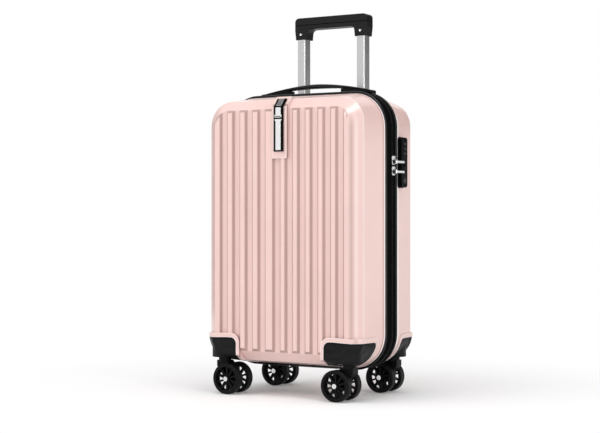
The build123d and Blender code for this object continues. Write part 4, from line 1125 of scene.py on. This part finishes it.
class CASE_OT_lining(bpy.types.Operator):
    """Woven lining of both halves with its bound edge, crossing straps and their clasp"""

    bl_idname = "case.lining"
    bl_label = "Lining and straps"

    def execute(self, context):
        look = context.scene.case_look
        trim = tint(look.black_color, 3)
        cloth = weave_finish("lining_cloth", look.lining_color, 0.0016)
        binding = weave_finish("binding_tape", trim, 0.0014)
        webbing = weave_finish("strap_webbing", trim, 0.0021, slant=(0.64, 0.77))
        clasp = plastic_finish(
            "clasp_plastic", tint(look.black_color, 2), 0.3, 900.0, 0.00003, shine=0.2
        )
        for half, side in SIDES.items():
            self.make_lining(half, side, cloth, binding)
        rising = self.make_strap("strap_rising", 1, webbing)
        self.make_strap("strap_falling", -1, webbing)
        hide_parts("pack_straps")
        self.make_buckle(clasp)
        return {"FINISHED"}

    def make_lining(self, half, side, cloth, binding):
        """Cloth tub that follows the inside of the CAD lining, with creases and a bound edge."""
        name = half + "_lining"
        surface = surface_of(name)
        low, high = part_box(name)
        middle = (low + high) / 2
        rim_y = low.y if side > 0 else high.y
        floor_y = high.y if side > 0 else low.y
        sink = floor_y - rim_y
        inward = Y * side
        rings, walls, around = 44, 14, 168
        seed = 4.0 + side

        def rim_way(j):
            """Way from the middle to one place of the rim."""
            turn = 2 * math.pi * (j + 0.5) / around
            return Vector((math.cos(turn) / 0.86, 0, math.sin(turn) * 1.1)).normalized()

        def wall_spot(j, y, spread):
            """Where the cloth clears the wall and all that stands near this place."""
            best = 9.0
            for dj, dy in ((0, 0), (spread, 0), (-spread, 0), (0, 0.006), (0, -0.006)):
                deep = min(max(abs(y) + dy, abs(rim_y) + 0.0004), abs(floor_y) - 0.004) * side
                reach = reach_to(surface, Vector((0, deep, middle.z)), rim_way(j + dj), 0.4)
                if dj == 0 and dy == 0:
                    plain = reach
                elif abs(reach - plain) < 0.006:
                    continue
                best = min(best, reach)
            return Vector((0, y, middle.z)) + rim_way(j) * best

        def floor_spot(x, z):
            """Where the cloth clears the floor and all that stands near this place."""
            top_y, step, slant = rim_y * 0.6, 0.008, 0.006
            near = ((0, 0), (step, 0), (-step, 0), (0, step), (0, -step))
            near += ((slant, slant), (-slant, slant))
            starts = [Vector((x + dx, top_y, z + dz)) for dx, dz in near]
            best = min(reach_to(surface, start, inward, 0.12) for start in starts)
            return Vector((x, top_y + side * best, z))

        def place(i, j):
            way = rim_way(j)
            if i <= walls:
                y = rim_y + sink * (0.004 + 0.93 * i / walls)
                spot = wall_spot(j, y, 1.0 if i > 2 else 0.0)
                depth = 0.0014 * max(0.0, ripple(spot, 26.0, seed) + 0.25) * min(1.0, i / 3)
                return spot - way * (0.0002 + depth)
            share = 1 - (i - walls) / (rings - walls + 1)
            outer = wall_spot(j, rim_y + sink * 0.9, 1.0) - way * 0.002
            spot = outer.lerp(Vector((0, outer.y, middle.z)), 1 - share * 0.985)
            found = floor_spot(spot.x, spot.z)
            fold = 0.0011 * max(0.0, ripple(found, 17.0, seed + 2) + 0.15)
            fold += 0.0005 * ripple(found, 60.0, seed)
            return found - inward * (0.0005 + max(0.0, fold))

        form = Form()
        form.grid(rings, around, place, closed=True)
        last = rings * around
        heart = len(form.points)
        form.points.append(sum(form.points[last:], Vector()) / around)
        form.faces += [(last + j, last + (j + 1) % around, heart) for j in range(around)]
        lining = form.piece(half + "_lining_cloth", cloth, "lining", HALF_BODY[half])
        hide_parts(name)
        self.make_binding(half, side, form.points[:around], binding)

    def make_binding(self, half, side, edge, finish):
        """Folded tape sewn over the edge of a lining."""
        # (way out, depth) round the folded tape
        profile = ((0.0006, -0.0004), (0.0006, 0.0085), (-0.0004, 0.0092))
        profile += ((-0.0014, 0.0085), (-0.0014, -0.0002), (-0.0004, -0.001))
        count = len(edge)
        heart = sum(edge, Vector()) / count

        def place(i, j):
            spot = edge[i]
            ahead = (edge[(i + 1) % count] - edge[i - 1]).normalized()
            way = Vector((ahead.z, 0, -ahead.x))
            if way.dot(spot - heart) < 0:
                way = -way
            out, deep = profile[j]
            return spot + way * out + Y * (side * deep)

        form = Form()
        form.grid(count, len(profile), place, closed=True, looped=True)
        form.piece(half + "_lining_binding", finish, "lining", HALF_BODY[half])

    def make_strap(self, name, sign, finish):
        """One of the two webbing straps that cross under the clasp. sign is 1 where it rises."""
        low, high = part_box("pack_straps")
        middle = (low + high) / 2
        surface = surface_of("back_lining")
        slope = Vector((1, 0, 1.2)).normalized()
        along = Vector((slope.x, 0, slope.z * sign))
        across = Vector((-along.z, 0, along.x))
        layer = 0.00065 * sign
        rows, columns = 90, 10
        ends = []
        for j in range(columns + 1):
            start = middle + across * (0.0122 * (2 * j / columns - 1))
            back, front = (reach_to(surface, start, along * way, 0.4) for way in (-1, 1))
            ends.append((start, back, front))

        def place(i, j):
            start, back, front = ends[j]
            share = 2 * i / rows - 1
            far = (back if share < 0 else front) - 0.0012
            spot = start + along * (share * far)
            sag = 0.0011 * math.sin(math.pi * min(1.0, abs(share) * 1.05)) ** 2
            wave = 0.0004 * ripple(spot, 14.0, 3.0 + sign)
            crown = 0.00025 * math.cos(math.pi * (j / columns - 0.5))
            return spot + Y * (layer + sag + wave - crown)

        form = Form()
        form.grid(rows, columns, place)
        strap = form.piece(name, finish, "webbing", "back")
        thicken(strap, 0.001)
        _, back, front = ends[columns // 2]
        back + front
        return strap

    def make_buckle(self, finish):
        """Clasp with a raised rim, a sunk field and a round release in its middle."""
        low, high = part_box("strap_buckle")
        middle = (low + high) / 2
        half_w, half_h = (high.x - low.x) / 2, (high.z - low.z) / 2
        corner, tight_corner, steps = 0.007, 0.0012, 10
        # (inset, rise) from the lining up over the rim and down into the sunk field
        layers = ((0.0012, 0.0), (0.0, 0.0012), (0.0, 0.0052), (0.0004, 0.0068), (0.0016, 0.0078))
        layers += ((0.0034, 0.008), (0.0046, 0.0072), (0.0052, 0.0064), (0.0068, 0.0062))
        release = ((0.0068, 0.0058), (0.0068, 0.0074), (0.006, 0.0079), (0.0046, 0.0079))
        release += ((0.004, 0.0073), (0.0006, 0.0071))

        def place(i, j):
            inset, rise = layers[i]
            quarter, k = divmod(j, steps + 1)
            turn = corner_turn(quarter, k / steps)
            side, end = QUARTERS[quarter]
            radius = max(corner - inset, tight_corner)
            x = side * (half_w - inset - radius) + math.cos(turn) * radius
            z = end * (half_h - inset - radius) + math.sin(turn) * radius
            if abs(x) > half_w * 0.6:
                x *= 1 - 0.10 * math.exp(-((z / 0.0062) ** 2))
            return Vector((middle.x + x, high.y - rise, middle.z + z))

        form = Form()
        # The ends face inward, which keeps the sunk field dark
        form.grid(len(layers) - 1, 4 * (steps + 1), place, closed=True, caps=-1)
        form.lathe(release, Vector((middle.x, high.y, middle.z)), -Y, X, 36)
        for side in (-1, 1):
            for k in range(5):
                x, half = middle.x + side * (0.0112 + 0.0014 * k), 0.0062 - 0.0006 * k
                heights = [middle.z + t * half for t in (-1, -0.5, 0, 0.5, 1)]
                spine = [Vector((x, high.y - 0.0063, z)) for z in heights]
                form.tube(spine, [0.0003, 0.0005, 0.0005, 0.0005, 0.0003], X)
        clasp = form.piece("strap_clasp", finish, "buckle", "back")
        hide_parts("strap_buckle")


# ---------------------------------------------------------------- studio
def round_about(azimuth, distance, height):
    """A place round the case, azimuth degrees to the right of its front."""
    turn = math.radians(azimuth)
    return Vector((math.sin(turn) * distance, -math.cos(turn) * distance, height))


def area_light(name, place, size, power, aim=(0, 0, 0.3)):
    """Soft oblong light that is turned to its aim."""
    lamp = bpy.data.lights.new(name, "AREA")
    lamp.shape = "RECTANGLE"
    lamp.size, lamp.size_y = size
    lamp.energy = power
    light = bpy.data.objects.new(name, lamp)
    light.location = place
    light.rotation_euler = (Vector(aim) - place).to_track_quat("-Z", "Y").to_euler()
    bpy.context.scene.collection.objects.link(light)
    return light


def board(name, corners, grey):
    """Matt board of the studio, and its paint."""
    paint = Finish(name, base_color=(grey, grey, grey, 1), roughness=0.9, specular_ior_level=0.1)
    form = Form()
    form.points, form.faces = corners, [(0, 1, 2, 3)]
    made = form.build(name, paint)
    return made, paint


def dark_card(name, corners):
    """Dark board that only mirror-like finishes see, so that bare metal has something to mirror."""
    card = board(name, corners, 0.02)[0]
    card.visible_camera = False
    card.visible_diffuse = False
    card.visible_transmission = False
    card.visible_shadow = False


def tall_card(name, azimuth, distance, low_z, high_z, width):
    """Upright dark card round the case."""
    middle = round_about(azimuth, distance, 0.0)
    across = Vector((middle.y, -middle.x, 0)).normalized() * (width / 2)
    ends = ((-1, low_z), (1, low_z), (1, high_z), (-1, high_z))
    dark_card(name, [middle + across * side + Z * z for side, z in ends])


class CASE_OT_stage(bpy.types.Operator):
    """Floor, soft lights, surroundings and camera"""

    bl_idname = "case.stage"
    bl_label = "Studio"

    def execute(self, context):
        scene = context.scene
        self.make_world(scene)
        self.make_floor()
        self.make_lights(scene.case_stage)
        self.make_cards()
        self.make_camera(scene)
        scene.view_settings.view_transform = "Standard"
        return {"FINISHED"}

    def make_world(self, scene):
        """Even grey light on the case, and white wherever it is looked at or mirrored."""
        world = bpy.data.worlds.new("studio")
        scene.world = world
        world.use_nodes = True
        air = Nodes(world.node_tree)
        level = air.node("ShaderNodeMix", None, {0: air.seen(), 2: scene.case_stage.fill, 3: 1.0})
        back = air.tree.nodes["Background"]
        air.feed(back, {"Color": (1, 1, 1, 1), "Strength": level})

    def make_floor(self):
        """Pale floor that keeps the case's shadow near it and is plain white further out."""
        size, glow = 14.0, 0.08
        corners = [(-size, -size, 0), (size, -size, 0), (size, size, 0), (-size, size, 0)]
        paint = board("studio_floor", corners, 0.9)[1]
        plain = Field(paint, paint.shader.outputs[0])
        lift, white = (
            paint.node("ShaderNodeEmission", None, {"Color": (1, 1, 1, 1), "Strength": strength})
            for strength in (glow, 1.0)
        )
        near = paint.node("ShaderNodeAddShader", None, {0: plain, 1: lift})
        x, y, _ = paint.parts(paint.place())
        far = ((x * x + y * y) ** 0.5).smooth(0.3, 0.8)
        shown = paint.node("ShaderNodeMixShader", None, {0: far, 1: near, 2: white})
        pick = paint.node("ShaderNodeMixShader", None, {0: paint.seen(), 1: plain, 2: shown})
        paint.feed(paint.tree.nodes["Material Output"], {"Surface": pick})

    def make_lights(self, stage):
        """Large soft lights, and thin ones that only show as a gleam on the shell."""
        key = area_light("key_light", round_about(-32, 3.1, 1.05), (3.0, 2.6), stage.key_power)
        area_light("strip_light", round_about(65, 2.2, 0.6), (0.3, 1.9), stage.strip_power)
        gleam = area_light("gleam_light", round_about(18, 2.6, 0.6), (0.14, 1.9), stage.gleam_power)
        place, aim = round_about(33, 1.5, 2.3), (0.12, -0.1, 0.5)
        high_gleam = area_light("high_gleam", place, (1.1, 0.7), stage.high_power, aim)
        area_light("side_light", round_about(128, 2.2, 0.55), (0.9, 1.5), stage.side_power)
        top = area_light("top_light", Vector((0.0, -0.5, 2.2)), (1.8, 1.2), stage.top_power)
        key.visible_glossy = top.visible_glossy = False
        gleam.visible_diffuse = high_gleam.visible_diffuse = False

    def make_cards(self):
        """Dark cards behind, to the left of and over the case."""
        tall_card("dark_card_high", 149, 1.9, 0.56, 1.9, 2.6)
        tall_card("dark_card_left", -112, 2.2, 0.0, 1.8, 0.7)
        square = ((-0.045, -0.05), (0.045, -0.05), (0.045, 0.05), (-0.045, 0.05))
        over = [(-0.182 + x, -0.141 + y, 0.816 + 0.6 * x) for x, y in square]
        dark_card("dark_card_over", over)

    def make_camera(self, scene):
        """Camera at the height of the case's middle, turned about its aim."""
        stage = scene.case_stage
        lens = bpy.data.cameras.new("studio_camera")
        lens.lens = stage.lens
        lens.sensor_width = 36
        lens.clip_start = 0.1
        lens.clip_end = 60
        camera = bpy.data.objects.new("studio_camera", lens)
        x = math.sin(stage.azimuth) * stage.distance
        y = stage.aim_y - math.cos(stage.azimuth) * stage.distance
        camera.location = (x, y, stage.height)
        camera.rotation_euler = (math.pi / 2, 0, stage.azimuth)
        scene.collection.objects.link(camera)
        scene.camera = camera


OPERATORS = (
    CASE_OT_shells,
    CASE_OT_running_gear,
    CASE_OT_zip_band,
    CASE_OT_lock,
    CASE_OT_pull_handle,
    CASE_OT_carry_handle,
    CASE_OT_nameplate,
    CASE_OT_lining,
    CASE_OT_stage,
)


class CASE_PT_panel(bpy.types.Panel):
    """Buttons and settings of the cabin case"""

    bl_idname = "CASE_PT_panel"
    bl_label = "Cabin case"
    bl_space_type = "VIEW_3D"
    bl_region_type = "UI"
    bl_category = "Cabin case"

    def draw(self, context):
        for group in (context.scene.case_look, context.scene.case_stage):
            for name in group.__annotations__:
                self.layout.prop(group, name)
        for operator in OPERATORS:
            self.layout.operator(operator.bl_idname)


CLASSES = (CaseLook, CaseStage, *OPERATORS, CASE_PT_panel)


def register():
    for item in CLASSES:
        bpy.utils.register_class(item)
    bpy.types.Scene.case_look = PointerProperty(type=CaseLook)
    bpy.types.Scene.case_stage = PointerProperty(type=CaseStage)


def unregister():
    del bpy.types.Scene.case_stage
    del bpy.types.Scene.case_look
    for item in reversed(CLASSES):
        bpy.utils.unregister_class(item)


def main():
    register()
    for operator in OPERATORS:
        group, name = operator.bl_idname.split(".")
        getattr(getattr(bpy.ops, group), name)()


if __name__ == "__main__":
    main()
